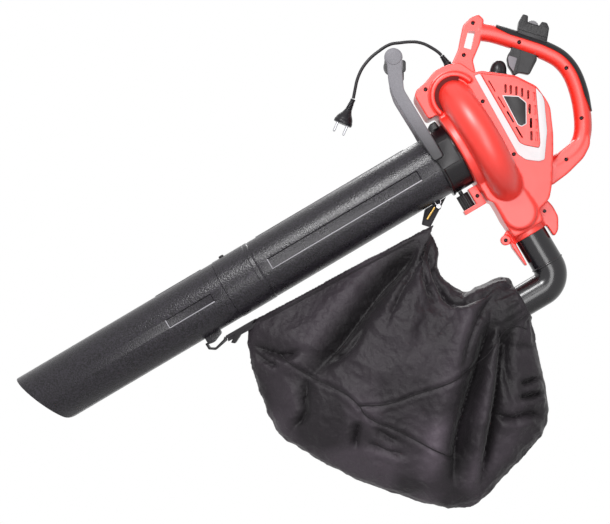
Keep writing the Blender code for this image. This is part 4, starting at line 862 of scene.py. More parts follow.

# %% [markdown]
# ## Crisp details on the housing
#
# After the smoothing come the edges that are sharp on the real thing: the bed of the white trim and
# the vent cover, the strap slot, the trigger's room, the grooves beside the raised rims and the sunk
# holes of the shell screws. The screws enter from the near side only. A dark red sheet lies in the
# gap under each hood as painted shadow: it stands for the shade that the hood casts there.

# %% Cut the crisp details and part the shells
BODY_SCREWS = ((0.0418, 0.0574), (0.0419, -0.0541), (-0.0365, 0.1288))
BAR_SCREWS = ((0.1592, 0.1187), (0.2099, 0.0336), (0.1869, -0.0598), (0.1240, -0.1110))
POST_SCREWS = ((0.1040, 0.1925), (0.0594, 0.1502))
BRACKET_SCREW = (-0.0510, -0.0855)
SCREW_HOLE = 0.0040
SCREW_SINK = 0.0062
TRIM_OUTER = (
    (0.0522, 0.1052), (0.0476, -0.0576), (0.0551, -0.0734), (0.0744, -0.0884),
    (0.0845, -0.0908), (0.1149, -0.0487), (0.1384, 0.0009), (0.1405, 0.0124),
)
TRIM_INNER = (
    (0.1372, 0.0297), (0.0929, -0.0614), (0.0866, -0.0676), (0.0669, -0.0504),
    (0.0611, -0.0413), (0.0630, 0.1031),
)
COVER_TOP = ((0.0636, 0.1031), (0.1145, 0.0660), (0.1358, 0.0330))
COVER = (*COVER_TOP, *TRIM_INNER[:-1])
COVER_FLOOR = 0.0450
WINDOW = ((0.0700, 0.0900), (0.1080, 0.0610), (0.1270, 0.0290), (0.0885, -0.0540), (0.0690, -0.0370))
TRIGGER_HALF = 0.0080
TRIGGER_ROOM = ((-0.0290, 0.0300), (0.0262, 0.0300), (0.0262, -0.0010), (-0.0290, -0.0010))
SWITCH_ROOM = ((-0.0203, 0.0030), (0.0003, 0.0030), (0.0003, -0.0118), (-0.0203, -0.0118))

clock = time.time()
recess = offset([*TRIM_OUTER, TRIM_INNER[0], *reversed(COVER_TOP)], 0.0006)
cutters = []
for _, low, high in sides(COVER_FLOOR, BODY_HALF + 0.02):
    cutters.append(plate(recess, low, high))
for _, low, high in sides(0.030, COVER_FLOOR + 0.001):
    cutters.append(plate(WINDOW, low, high))
for side in (-1, 1):
    groove = arc_on_face(GROOVE_REACH, HOOD_START, HOOD_END, side * (BODY_HALF + 0.0004))
    cutters.append(tube(groove, GROOVE_RADIUS, 8))
    groove = arc_on_face(HOOD_OUTSIDE + 0.0035, HOOD_GROOVE_START, HOOD_END, side * BODY_HALF)
    cutters.append(tube(groove, 0.0010, 5))
cutters.append(plate(rounded(STRAP_SLOT, 0.002), -0.03, 0.03))
cutters.append(plate([on_grip(*p) for p in TRIGGER_ROOM], -TRIGGER_HALF - 0.0006, TRIGGER_HALF + 0.0006))
cutters.append(plate([on_grip(*p) for p in SWITCH_ROOM], -0.0073, 0.0073))
pin_at = on_grip(*TRIGGER_PIVOT)
cutters.append(rod(at(*pin_at, -0.0118), at(*pin_at, 0.0118), 0.0023, 32))
boot_way = (BOOT_TIP - BOOT_BASE).normalized()
cutters.append(rod(BOOT_BASE - boot_way * SEAT, BOOT_BASE + boot_way * 0.06, 0.0069, 48))
screw_places = [(p, BODY_HALF) for p in BODY_SCREWS] + [(p, BAR_RADIUS) for p in BAR_SCREWS]
screw_places += [(p, POST_HALF) for p in POST_SCREWS] + [(EAR_SCREW, EAR_HALF), (WING_SCREW, 0.0375)]
for place, face in screw_places:
    cutters.append(rod(at(*place, -face - 0.02), at(*place, SCREW_SINK - face), SCREW_HOLE, 32))
shell = cut(shell, *cutters, solver="MANIFOLD")
for name, low, high in (("near", -0.2, -0.00015), ("far", 0.00015, 0.2)):
    half = keep(duplicate(shell), box((-0.3, low, -0.4), (0.4, high, 0.4)), solver="MANIFOLD")
    print("shell", name, len(half.data.polygons), "faces")
    piece(half, "shell_" + name, red_plastic, replaces=["housing_" + name], crease=50)
# painted shadow: a dark red sheet in the gap under each hood stands for the hood's shade
shadow_sheet = band_on_face(SHADOW_SHEET_INSIDE, HOOD_INSIDE + 0.0006, SHADOW_SHEET_START, HOOD_END)
for name, low, high in sides(BODY_HALF - 0.004, BODY_HALF + SHADOW_SHEET_RISE):
    piece(plate(shadow_sheet, low, high, edge=0.0008), "hood_painted_shadow_" + name, shadow_sheet_plastic)
drop(shell)
print(f"shells parted, {time.time() - clock:.0f} s")

# %% [markdown]
# ## Shell screws
#
# Small pan-head screws with a six-lobed socket, each at the bottom of its sunk hole. The thread
# doesn't show, so only the head is made, with its domed top and its socket.

# %% Screws
HEAD_HEIGHT = 0.0026
HEAD_RADIUS = 0.0033


def screw_head(place, face):
    top = SCREW_SINK - face - HEAD_HEIGHT
    head = turned([(0, 0), (0, 0.0018), (0.0004, 0.0026), (0.0010, 0.0031), (0.0020, HEAD_RADIUS),
                   (HEAD_HEIGHT, HEAD_RADIUS), (HEAD_HEIGHT, 0)], at(*place, top), (0, 1, 0), 48)
    for k in range(3):
        lobe = box((-0.0016, -0.001, -0.0005), (0.0016, 0.0011, 0.0005))
        lobe.data.transform(Matrix.Translation(at(*place, top))
                            @ Matrix.Rotation(math.radians(60 * k), 4, "Y"))
        head = cut(head, lobe)
    return head


dark_steel = Look("dark_steel", linear(52, 48, 50), 0.45, Metallic=1.0)
dark_steel.shade(dark_steel.noise(0.0012, 2), 0.15)
dark_steel.lift(dark_steel.noise(0.0008, 2), 0.00002)
dark_steel_look = dark_steel.finish()
bracket_half = 0.017
for i, (place, face) in enumerate([*screw_places, (BRACKET_SCREW, bracket_half)]):
    piece(screw_head(place, face), f"screw_{i + 1}", dark_steel_look)
print(len(screw_places) + 1, "screws")

# %% [markdown]
# ## Trim, vent cover and badge
#
# The white band is the one light piece on the machine, so its outline has to be right. The vent
# cover stands a little prouder than the band, and each of its slots has rounded ends. The badge is a
# bare dark plate with a pale raised border: it carries no lettering.

# %% Trim, covers and badge
SLOT_LEAN = math.radians(59.4)
TOP_SLOTS = ((0.0887, 0.0561), (0.0959, 0.0498), (0.1035, 0.0426), (0.1111, 0.0347),
             (0.1184, 0.0257), (0.1253, 0.0175))
REAR_SLOTS = ((0.1074, 0.0019), (0.1149, -0.0047), (0.0967, -0.0213), (0.1039, -0.0276),
              (0.0853, -0.0419), (0.0929, -0.0477))
SIDE_SLOTS = ((0.0692, 0.0726), (0.0691, 0.0389), (0.0699, 0.0075), (0.0694, -0.0250))
TOP_SLOT_SIZE = (0.0165, 0.0046)
REAR_SLOT_SIZE = (0.0185, 0.0046)
SIDE_SLOT_SIZE = (0.024, 0.0036)
BADGE = (
    (0.0769, 0.0489), (0.1023, 0.0322), (0.1085, 0.0150), (0.0889, -0.0189), (0.0782, -0.0185),
    (0.0738, -0.0120),
)
TRIM_PROUD = 0.0010
COVER_PROUD = 0.0030


def slot_outline(place, length, width, lean, steps=7):
    """A slot with round ends, given by its middle."""
    along = Vector((math.cos(lean), math.sin(lean)))
    aside = Vector((-along.y, along.x))
    points = []
    for end in (1, -1):
        for k in range(steps + 1):
            a = math.pi * (k / steps - 0.5)
            points.append(Vector(place) + end * (along * (length / 2 - width / 2 + width / 2 * math.cos(a))
                                                 + aside * width / 2 * math.sin(a)))
    return [tuple(p) for p in points]


slots = [slot_outline(p, *TOP_SLOT_SIZE, SLOT_LEAN) for p in TOP_SLOTS]
slots += [slot_outline(p, *REAR_SLOT_SIZE, SLOT_LEAN) for p in REAR_SLOTS]
slots += [slot_outline(p, *SIDE_SLOT_SIZE, math.radians(90)) for p in SIDE_SLOTS]
for name, low, high in sides(COVER_FLOOR + SEAT, BODY_HALF + TRIM_PROUD):
    band = plate(rounded([*TRIM_OUTER, *TRIM_INNER], 0.003, 4), low, high, edge=0.0008)
    piece(band, "trim_band_" + name, white_plastic, replaces=["trim_" + name])
for name, low, high in sides(COVER_FLOOR + SEAT, BODY_HALF + COVER_PROUD):
    cover = plate(rounded(offset(COVER, -0.0006), 0.003, 5), low, high, edge=0.0018, segments=4)
    cover = cut(cover, *[plate(outline, low - 0.004, high + 0.004) for outline in slots])
    piece(cover, "vented_cover_" + name, red_plastic, replaces=["vent_cover_" + name])
badge_face = BODY_HALF + COVER_PROUD + SEAT
badge_inner = offset(BADGE, -0.0016)
border = cut(plate(rounded(BADGE, 0.002), -badge_face - 0.0012, -badge_face, edge=0.0003),
             plate(rounded(badge_inner, 0.0015), -badge_face - 0.003, -badge_face + 0.001))
piece(border, "badge_border", white_plastic)
field = plate(rounded(offset(badge_inner, -0.0001), 0.0015), -badge_face - 0.0008, -badge_face, edge=0.0002)
piece(field, "badge_field", badge_plastic, replaces=["badge"])

# %% [markdown]
# ## Suction tubes
#
# Each tube is one turned profile. The upper one ends in a socket that is a touch wider, and the
# lower one slides into it up to a step. A long panel is sunk into each side with a floor that stays
# parallel to the wall and sides that slant, as a mould needs them, and the wall is thicker behind it.
# A thin bead runs along its lower edge and its front end, coloured pale grey as a painted highlight
# of the lit lip, and a flat rib lies along the top. The nozzle is cut on the slant, with a rounded heel
# so that it doesn't dig into the ground.

# %% Tubes
TUBE_TOP_END = -0.0436
SOCKET_START = -0.461
SOCKET_END = -0.535
SOCKET_WALL = 0.0019
STOP_STEP = 0.0014
NOZZLE_TIP = -0.953
NOZZLE_HEEL = -0.906
HEEL_ROUND = 0.009
PANEL_DEPTH = 0.0034
PANEL_DRAFT = 0.0030
PANEL_BACK = 0.0022
UPPER_PANEL = (-0.442, -0.125)
UPPER_PANEL_HALF = 0.0115
LOWER_PANEL = (-0.657, -0.560)
LOWER_PANEL_HALF = 0.0095
RIB_HALF = 0.003
RIB_HEIGHT = 0.0010
TUBE_SIDES = 144
LATCH_U = -0.5150
LATCH_RADIUS = 0.005
LATCH_PROUD = 0.0035
LATCH_FLANGE = 0.0075
LUG_ROOT = -TUBE_RADIUS + 0.0015
FRONT_LUG_HALF = 0.008
FRONT_LUG = (
    (-0.6170, LUG_ROOT), (-0.6170, -TUBE_RADIUS - 0.0120), (-0.6050, -TUBE_RADIUS - 0.0140),
    (-0.5850, -TUBE_RADIUS - 0.0060), (-0.5850, LUG_ROOT),
)
REAR_LUG = (
    (-0.1300, LUG_ROOT), (-0.1280, -TUBE_RADIUS - 0.0100), (-0.1215, -TUBE_RADIUS - 0.0160),
    (-0.1150, -TUBE_RADIUS - 0.0100), (-0.1130, LUG_ROOT),
)
REAR_LUG_DEPTH = 0.006
REAR_PIN = (-0.1215, -TUBE_RADIUS - 0.0085)
REAR_PIN_RADIUS = 0.0020
WEBBING = 0.003


def groove_profile(u, radius, width, depth):
    """Profile points of a shallow round groove, from low u to high u."""
    return [(u + width * (k / 6 - 0.5), radius - depth * math.sin(math.pi * k / 6)) for k in range(7)]


def tapered(first, last, half, low, high, draft):
    """A box whose face towards the tube's middle is smaller by the draft on every side."""
    shape = box((first, low, -half), (last, high, half))
    inner_y = low if low > 0 else high
    for vertex in shape.data.vertices:
        if abs(vertex.co.y - inner_y) < 0.0001:
            vertex.co.x += draft if vertex.co.x < (first + last) / 2 else -draft
            vertex.co.z += draft if vertex.co.z < 0 else -draft
    return shape


def dress_tube(shape, span, half):
    """Sinks a slant-sided panel into both flanks, thickens the wall behind it and adds the rib."""
    first, last = span
    wall_inside = TUBE_RADIUS - TUBE_WALL
    reach = (first - 0.01, 0, 0), (last + 0.01, 0, 0)
    for _, low, high in sides(TUBE_RADIUS - PANEL_DEPTH - 0.001, TUBE_RADIUS + 0.001):
        pad = rod(*reach, wall_inside + 0.0008, TUBE_SIDES)
        pad = cut(pad, rod((first - 0.02, 0, 0), (last + 0.02, 0, 0), wall_inside - PANEL_BACK, TUBE_SIDES))
        edge_y = sorted((math.copysign(0.03, low), math.copysign(0.1, low)))
        pad = keep(pad, box((first - 0.002, edge_y[0], -half - 0.002),
                            (last + 0.002, edge_y[1], half + 0.002)))
        shape = join(shape, pad)
        panel = tapered(first, last, half, low, high, PANEL_DRAFT)
        shape = cut(shape, cut(panel, rod(*reach, TUBE_RADIUS - PANEL_DEPTH, TUBE_SIDES)))
    rib = box((first, -RIB_HALF, TUBE_RADIUS - 0.001), (last, RIB_HALF, TUBE_RADIUS + RIB_HEIGHT), 0.0003)
    return join(shape, rib)


inner = TUBE_RADIUS - TUBE_WALL
spigot = TUBE_RADIUS - STOP_STEP
socket = spigot + SEAT
outer_socket = socket + SOCKET_WALL
upper = turned([
    (TUBE_TOP_END, TUBE_RADIUS - 0.0005), (TUBE_TOP_END - 0.0005, TUBE_RADIUS),
    (SOCKET_START + 0.0012, TUBE_RADIUS),
    *reversed(groove_profile(SOCKET_START, TUBE_RADIUS, 0.0022, 0.0007)),
    (SOCKET_START - 0.0022, outer_socket - 0.0003), (SOCKET_START - 0.0034, outer_socket),
    *reversed(groove_profile(SOCKET_START - 0.010, outer_socket, 0.0020, 0.0005)),
    (SOCKET_END + 0.0006, outer_socket), (SOCKET_END, outer_socket - 0.0006), (SOCKET_END, socket),
    (SOCKET_START - 0.009, socket), (SOCKET_START - 0.006, inner), (TUBE_TOP_END, inner)],
    sides=TUBE_SIDES, ring=True)
lower = turned([
    (SOCKET_START - 0.0093, spigot), (SOCKET_END - SEAT, spigot), (SOCKET_END - SEAT, TUBE_RADIUS - 0.0006),
    (SOCKET_END - SEAT - 0.0006, TUBE_RADIUS), (NOZZLE_TIP - 0.01, TUBE_RADIUS), (NOZZLE_TIP - 0.01, inner),
    (SOCKET_START - 0.0093, inner)], sides=TUBE_SIDES, ring=True)
run = (NOZZLE_TIP - NOZZLE_HEEL) / (2 * TUBE_RADIUS)
middle = (NOZZLE_TIP + NOZZLE_HEEL) / 2
heel_low = Vector((NOZZLE_HEEL + 0.012, -TUBE_RADIUS - 0.0002))
heel_high = Vector((middle - run * (TUBE_RADIUS - HEEL_ROUND), -TUBE_RADIUS + HEEL_ROUND))
heel = Vector((NOZZLE_HEEL, -TUBE_RADIUS))
heel_arc = [tuple(heel_high.lerp(heel, t).lerp(heel.lerp(heel_low, t), t))
            for t in (k / 8 for k in range(9))]
mouth = plate([(NOZZLE_TIP - 0.06, 0.08), (middle + run * 0.08, 0.08), *heel_arc,
               (NOZZLE_HEEL + 0.012, -0.08), (NOZZLE_TIP - 0.06, -0.08)], -0.08, 0.08)
lower = cut(lower, mouth)
upper = dress_tube(upper, UPPER_PANEL, UPPER_PANEL_HALF)
lower = dress_tube(lower, LOWER_PANEL, LOWER_PANEL_HALF)
inset = PANEL_DRAFT * 0.45
for label, (first, last), half in (("upper", UPPER_PANEL, UPPER_PANEL_HALF),
                                   ("lower", LOWER_PANEL, LOWER_PANEL_HALF)):
    edge_z = half - inset
    for name, facing in (("near", -1), ("far", 1)):
        corners = [(last - inset, -edge_z), (first + inset, -edge_z), (first + inset, edge_z * 0.9)]
        lip = []
        for (u1, v1), (u2, v2) in zip(corners, corners[1:]):
            for k in range(9):
                u, v = u1 + (u2 - u1) * k / 8, v1 + (v2 - v1) * k / 8
                lip.append(Vector((u, facing * (math.sqrt(TUBE_RADIUS ** 2 - v * v) - 0.0003), v)))
        lip = [p for i, p in enumerate(lip) if i == 0 or (p - lip[i - 1]).length > 0.0002]
        # painted highlight: the bead's pale colour stands for the lit edge of the panel
        piece(tube(lip, 0.0011, 5), f"panel_lip_{label}_{name}", painted_highlight_plastic)
hole = LATCH_RADIUS + SEAT
upper = cut(upper, rod(at(LATCH_U, inner), at(LATCH_U, TUBE_RADIUS + 0.01), hole, 32))
lower = cut(lower, rod(at(LATCH_U, inner - 0.004), at(LATCH_U, TUBE_RADIUS + 0.01), hole, 32))
behind = WEBBING / 2 + SEAT
upper = join(upper, plate(rounded(REAR_LUG, 0.003), behind, behind + REAR_LUG_DEPTH, edge=0.0008))
upper = cut(upper, rod(at(*REAR_PIN), at(*REAR_PIN, behind + REAR_LUG_DEPTH - 0.001),
                       REAR_PIN_RADIUS + SEAT, 32))
lower = join(lower, plate(rounded(FRONT_LUG, 0.003), -FRONT_LUG_HALF, FRONT_LUG_HALF, edge=0.001))
upper = soften(upper, 0.00035, 2, 50)
lower = soften(lower, 0.00035, 2, 50)
piece(upper, "suction_tube_upper", tube_plastic, replaces=["upper_tube"])
piece(lower, "suction_tube_lower", tube_plastic, replaces=["lower_tube"])
latch_top = outer_socket + LATCH_PROUD
flange_top = math.sqrt(inner ** 2 - LATCH_FLANGE ** 2) - SEAT
button = turned([(flange_top - 0.002, 0), (flange_top - 0.002, LATCH_FLANGE), (flange_top, LATCH_FLANGE),
                 (flange_top, LATCH_RADIUS), (latch_top - 0.0016, LATCH_RADIUS),
                 (latch_top - 0.0008, LATCH_RADIUS - 0.0003), (latch_top - 0.0002, LATCH_RADIUS - 0.0010),
                 (latch_top, LATCH_RADIUS - 0.0020), (latch_top - 0.0004, 0.0016), (latch_top - 0.0005, 0)],
                (LATCH_U, 0, 0), (0, 0, 1), 48)
piece(button, "latch_button", part_plastic, "tube_latch", replaces=["tube_latch"])
print("tubes with", len(upper.data.polygons), "and", len(lower.data.polygons), "faces")

# %% [markdown]
# ## Collar and front handle
#
# The collar clamps the tube to the housing. A ledge on each side holds the foot of a handle arm
# from below and from behind. The two flat arms rise to a cross grip. On the real thing the arm is a
# moulding with softly rounded rims and a cap at its eye, where the cross grip is screwed on. A small
# catch at each foot clips the arm to the collar.

# %% Collar, arms and cross grip
COLLAR_FRONT = -0.087
COLLAR_BACK = -0.0433
COLLAR_WALL = 0.0042
COLLAR_LIP = 0.002
LEDGE_REACH = TUBE_RADIUS + 0.0095
LEDGE_LOW = -0.014
LEDGE_TOP = 0.032
COLLAR_LUG = (
    (-0.066, TUBE_RADIUS), (-0.065, TUBE_RADIUS + 0.012), (-0.059, TUBE_RADIUS + 0.0155),
    (-0.048, TUBE_RADIUS + 0.0155), (-0.046, TUBE_RADIUS),
)
COLLAR_LUG_HALF = 0.012
ARM_INNER = TUBE_RADIUS + 0.0048
ARM_THICKNESS = 0.008
ARM_FOOT = ((-0.0912, 0.0070), (-0.0712, 0.0070))
ARM_BACK = ((-0.0714, 0.0712), (-0.0722, 0.1470), (-0.0560, 0.1800), (-0.0455, 0.1960))
ARM_FRONT = ((-0.0700, 0.2140), (-0.0905, 0.1700), (-0.0955, 0.1470), (-0.0942, 0.0773))
FAR_ARM_INSET = 0.005
CROSS = (-0.0588, 0.2067)
EYE_RADIUS = 0.0165
EYE_CAP = 0.0140
CROSS_RADIUS = 0.0155
ARM_CATCH = (-0.0523, 0.1839)
ARM_CATCH_LENGTH = 0.0225
ARM_CATCH_WIDTH = 0.0105

inside = TUBE_RADIUS + SEAT
outside = inside + COLLAR_WALL
ring = turned([
    (COLLAR_FRONT, inside), (COLLAR_FRONT, outside + COLLAR_LIP - 0.0008),
    (COLLAR_FRONT + 0.0008, outside + COLLAR_LIP), (COLLAR_FRONT + 0.0040, outside + COLLAR_LIP),
    (COLLAR_FRONT + 0.0050, outside + COLLAR_LIP - 0.0006), (COLLAR_FRONT + 0.0058, outside),
    (COLLAR_BACK - 0.0008, outside), (COLLAR_BACK, outside - 0.0008), (COLLAR_BACK, inside)],
    sides=TUBE_SIDES, ring=True)
right = ARM_FOOT[1][0] + SEAT
foot_level = ARM_FOOT[0][1] - SEAT
ledge = [(COLLAR_FRONT + 0.001, LEDGE_LOW), (COLLAR_BACK - 0.003, LEDGE_LOW),
         (COLLAR_BACK - 0.003, LEDGE_TOP), (right, LEDGE_TOP), (right, foot_level),
         (COLLAR_FRONT + 0.001, foot_level)]
ledges = [plate(rounded(ledge, 0.004), low, high, edge=0.0012)
          for _, low, high in sides(TUBE_RADIUS + 0.001, LEDGE_REACH)]
lug = plate(rounded(COLLAR_LUG, 0.002), -COLLAR_LUG_HALF, COLLAR_LUG_HALF, edge=0.0012)
ring = join(ring, *ledges, lug)
for _, low, high in sides(ARM_INNER - SEAT, ARM_INNER + 0.02):
    ring = cut(ring, box((COLLAR_FRONT - 0.01, low, foot_level), (right, high, TUBE_RADIUS + 0.02)))
ring = cut(ring, rod((COLLAR_FRONT - 0.01, 0, 0), (COLLAR_BACK + 0.01, 0, 0), inside, TUBE_SIDES))
piece(ring, "clamp_collar", collar_plastic, replaces=["inlet_collar"])

far_front = [(u + FAR_ARM_INSET, v) for u, v in ARM_FRONT]
for name, low, high in sides(ARM_INNER, ARM_INNER + ARM_THICKNESS):
    front = ARM_FRONT if name == "near" else far_front
    facing = -1 if name == "near" else 1
    face = facing * (ARM_INNER + ARM_THICKNESS)
    arm = plate(rounded([*ARM_FOOT, *ARM_BACK, *front], 0.006, 8), low, high, edge=0.0020, segments=4)
    eye = soften(rod(at(*CROSS, low), at(*CROSS, high), EYE_RADIUS, 96), 0.0020, 4)
    cap = rod(at(*CROSS, face - facing * 0.002), at(*CROSS, face + facing * 0.0012), EYE_CAP, 96)
    arm = join(arm, eye, soften(cap, 0.0008, 3))
    piece(arm, "handle_arm_" + name, grey_plastic, replaces=["front_handle_arm_" + name])
    inward, outward = sorted((facing * (ARM_INNER + 0.001), face - facing * 0.001))
    catch = plate(slot_outline(ARM_CATCH, ARM_CATCH_LENGTH, ARM_CATCH_WIDTH, SLOT_LEAN), inward, outward,
                  edge=0.0014)
    outline = offset(rounded([*ARM_FOOT, *ARM_BACK, *front], 0.006, 8), SEAT)
    catch = cut(catch, plate(outline, low - 0.01, high + 0.01),
                rod(at(*CROSS, low - 0.01), at(*CROSS, high + 0.01), EYE_RADIUS + SEAT, 96))
    piece(catch, "handle_catch_" + name, part_plastic)

half = ARM_INNER - SEAT
grip_profile = [(-half, 0), (-half, CROSS_RADIUS - 0.002), (0.0022 - half, CROSS_RADIUS - 0.0004),
                (0.0034 - half, CROSS_RADIUS)]
for k in range(9):
    grip_profile += groove_profile((k - 4) * 0.0105, CROSS_RADIUS, 0.0032, 0.0009)
grip_profile += [(half - 0.0034, CROSS_RADIUS), (half - 0.0022, CROSS_RADIUS - 0.0004),
                 (half, CROSS_RADIUS - 0.002), (half, 0)]
piece(turned(grip_profile, at(*CROSS), (0, 1, 0), 96), "cross_grip", soft_grip,
      replaces=["front_handle_grip"])
print("collar and front handle ready")

# %% [markdown]
# ## Lock under the collar
#
# A red bracket grows down from the housing and ends in a little shelf. The knob sits on it with a
# ribbed rim for the fingers; its stem reaches up through the shelf's open side to the collar.

# %% Lock bracket and knob
KNOB_U = -0.0735
KNOB_RADIUS = 0.0120
KNOB_TOP = -TUBE_RADIUS - 0.0120
KNOB_RIBS = 12
KNOB_GROOVE = 0.0014
BRACKET_TOP = -TUBE_RADIUS - 0.0095
BRACKET_FLOOR = -TUBE_RADIUS - 0.0405
BRACKET_BASE = -TUBE_RADIUS - 0.0485
BRACKET_FRONT = -0.087
BRACKET_WALL = -0.0600

right = DISC_FRONT - SEAT
bracket_outline = [(right, BRACKET_TOP), (right, BRACKET_BASE), (BRACKET_FRONT, BRACKET_BASE),
                   (BRACKET_FRONT, BRACKET_FLOOR), (BRACKET_WALL, BRACKET_FLOOR),
                   (BRACKET_WALL, BRACKET_TOP)]
bracket = plate(rounded(bracket_outline, 0.0015), -bracket_half, bracket_half, edge=0.001)
bracket = cut(bracket, rod(at(*BRACKET_SCREW, -bracket_half - 0.01),
                           at(*BRACKET_SCREW, SCREW_SINK - bracket_half), SCREW_HOLE, 32))
piece(bracket, "lock_bracket_red", red_plastic, replaces=["lock_bracket"])


def ribbed_outline(centre, radius, groove, count, ridge=0.55):
    """A round outline with rounded grooves between its ribs."""
    points = []
    for i in range(count):
        for share, sunk in ((0.0, 0.0), (ridge / 2, 0.0), (ridge, 0.0), (ridge + 0.12, 0.7),
                            (0.5 + ridge / 2, 1.0), (0.88, 0.7)):
            a = 2 * math.pi * (i + share) / count
            reach = radius - groove * sunk
            points.append((centre[0] + reach * math.cos(a), centre[1] + reach * math.sin(a)))
    return points


knob = plate(ribbed_outline((KNOB_U, 0), KNOB_RADIUS, KNOB_GROOVE, KNOB_RIBS), BRACKET_FLOOR + SEAT,
             KNOB_TOP, "v", edge=0.0006)
stem = rod(at(KNOB_U, KNOB_TOP - 0.002), at(KNOB_U, -inside - COLLAR_WALL - SEAT), 0.004, 48)
piece(join(knob, stem), "lock_knob_ribbed", part_plastic, "lock_knob", replaces=["lock_knob"])

# %% [markdown]
# ## Hand grip: cover, trigger, speed dial and selector
#
# The soft cover lies only on the outer side of the bar. The trigger swings on a steel pin, and the
# dial is a notched thumb wheel in a small casing on top of the bar. The selector is a dome with a
# groove across its top as a pointer: a raised pointer would strike the pressed trigger. Each moving
# piece rides its own body, so it turns or swings with its joint.

# %% Grip cover and trigger
D_CENTRE = (0.120, 0.020)
COVER_ROUTE = BAR_ROUTE[1:9]
COVER_WALL = 0.0022
COVER_EDGE = 0.0072
COVER_TAPER = 0.035
TRIGGER = (
    (-0.0260, 0.0050), (0.0100, 0.0040), (0.0225, 0.0050), (0.0225, 0.0150), (0.0256, 0.0215),
    (0.0205, 0.0520), (0.0010, 0.0540), (-0.0065, 0.0630), (-0.0145, 0.0545), (-0.0220, 0.0490),
    (-0.0285, 0.0360), (-0.0282, 0.0260), (-0.0260, 0.0205),
)
TRIGGER_PIN = 0.0020


def bar(route, radius, spacing=0.003, resolution=12):
    return tube(smooth_route([at(u, v) for u, v in route], spacing), radius, resolution)


cover = bar(COVER_ROUTE, BAR_RADIUS + COVER_WALL)
centre_line = [Vector((p.x, p.z)) for p in smooth_route([at(u, v) for u, v in BAR_ROUTE], 0.004)]
ends = [Vector(at(*COVER_ROUTE[k])).xz for k in (0, -1)]
full = BAR_RADIUS + COVER_WALL + 0.0005
rim = []
for p in centre_line:
    end_share = max(0.0, 1 - min((p - e).length for e in ends) / COVER_TAPER)
    reach = COVER_EDGE + (full - COVER_EDGE) * end_share ** 1.6
    rim.append(tuple(p + (p - Vector(D_CENTRE)).normalized() * reach))
cover = cut(cover, plate([*rim, D_CENTRE], -0.04, 0.04), bar(BAR_ROUTE, BAR_RADIUS + 0.0006))
cover = soften(cover, 0.0006, 3, 50)
piece(cover, "soft_grip_cover", soft_grip, replaces=["grip_overmould"], crease=50)

lever = plate(rounded([on_grip(*p) for p in TRIGGER], 0.004, 6), -TRIGGER_HALF, TRIGGER_HALF, edge=0.0018,
              segments=4)
lever = cut(lever, rod(at(*pin_at, -0.02), at(*pin_at, 0.02), TRIGGER_PIN + SEAT, 32))
finger_rest = [on_grip(*p) for p in ((0.0040, 0.0170), (0.0190, 0.0180), (0.0165, 0.0470),
                                     (0.0030, 0.0480))]
for side in (-1, 1):
    near = side * (TRIGGER_HALF - 0.0007)
    far = side * (TRIGGER_HALF + 0.002)
    lever = cut(lever, plate(rounded(finger_rest, 0.003), min(near, far), max(near, far)))
step = [on_grip(*p) for p in ((-0.0090, 0.0100), (-0.0075, 0.0100), (-0.0050, 0.0585), (-0.0066, 0.0600))]
for _, low, high in sides(TRIGGER_HALF - 0.0016, TRIGGER_HALF + 0.002):
    lever = cut(lever, plate(step, low, high))
piece(lever, "trigger_lever", part_plastic, "trigger", replaces=["trigger"])
pad_line = rounded([on_grip(*p) for p in ((-0.0105, 0.0300), (-0.0262, 0.0300), (-0.0266, 0.0355),
                                          (-0.0208, 0.0472), (-0.0140, 0.0522), (-0.0095, 0.0555))], 0.002)
for name, low, high in sides(TRIGGER_HALF - 0.0004, TRIGGER_HALF + 0.0005):
    piece(plate(pad_line, low, high, edge=0.0003), f"trigger_pad_{name}", grey_plastic, "trigger")

# %% Speed dial
DIAL_CENTRE = (-0.0010, -0.0340)
DIAL_RADIUS = 0.0120
DIAL_HALF = 0.0050
DIAL_NOTCHES = 18
DIAL_PIN_RADIUS = 0.0018
DIAL_PIN_HALF = 0.0105
DIAL_CASE_HALF = 0.0130
DIAL_CASE = (
    (-0.0240, -0.0120), (-0.0280, -0.0360), (-0.0250, -0.0500), (-0.0150, -0.0500), (-0.0120, -0.0385),
    (0.0100, -0.0385), (0.0120, -0.0470), (0.0220, -0.0480), (0.0290, -0.0400), (0.0330, -0.0120),
)
RUN = 0.0006
dial_at = on_grip(*DIAL_CENTRE)
case = plate(rounded([on_grip(*p) for p in DIAL_CASE], 0.0025, 6), -DIAL_CASE_HALF, DIAL_CASE_HALF,
             edge=0.0015, segments=4)
room = rod(at(*dial_at, -DIAL_HALF - RUN), at(*dial_at, DIAL_HALF + RUN), DIAL_RADIUS + RUN, 64)
pin_room = rod(at(*dial_at, -DIAL_PIN_HALF - SEAT), at(*dial_at, DIAL_PIN_HALF + SEAT),
               DIAL_PIN_RADIUS + SEAT, 32)
seat = bar(BAR_ROUTE[1:6], BAR_RADIUS + COVER_WALL + SEAT)
ribs = []
for first, last, top, foot in ((-0.0238, -0.0218, -0.0470, -0.0250), (-0.0200, -0.0180, -0.0480, -0.0250),
                               (-0.0095, -0.0025, -0.0370, -0.0235), (0.0015, 0.0085, -0.0370, -0.0235),
                               (0.0135, 0.0165, -0.0440, -0.0250), (0.0190, 0.0260, -0.0400, -0.0250),
                               (-0.0400, 0.0400, -0.0212, -0.0196)):
    line = [on_grip(first, top), on_grip(last, top), on_grip(last, foot), on_grip(first, foot)]
    ribs += [plate(line, low, high)
             for _, low, high in sides(DIAL_CASE_HALF - 0.0022, DIAL_CASE_HALF + 0.002)]
case = cut(case, room, pin_room, seat, *ribs)
piece(case, "dial_case", part_plastic, replaces=["dial_housing"])
wheel = plate(ribbed_outline(dial_at, DIAL_RADIUS, 0.0010, DIAL_NOTCHES, 0.5), -DIAL_HALF, DIAL_HALF,
              edge=0.0004, segments=2)
wheel = cut(wheel, rod(at(*dial_at, -0.02), at(*dial_at, 0.02), DIAL_PIN_RADIUS + SEAT, 32))
piece(wheel, "dial_wheel", dial_plastic, "speed_dial", replaces=["speed_dial"])

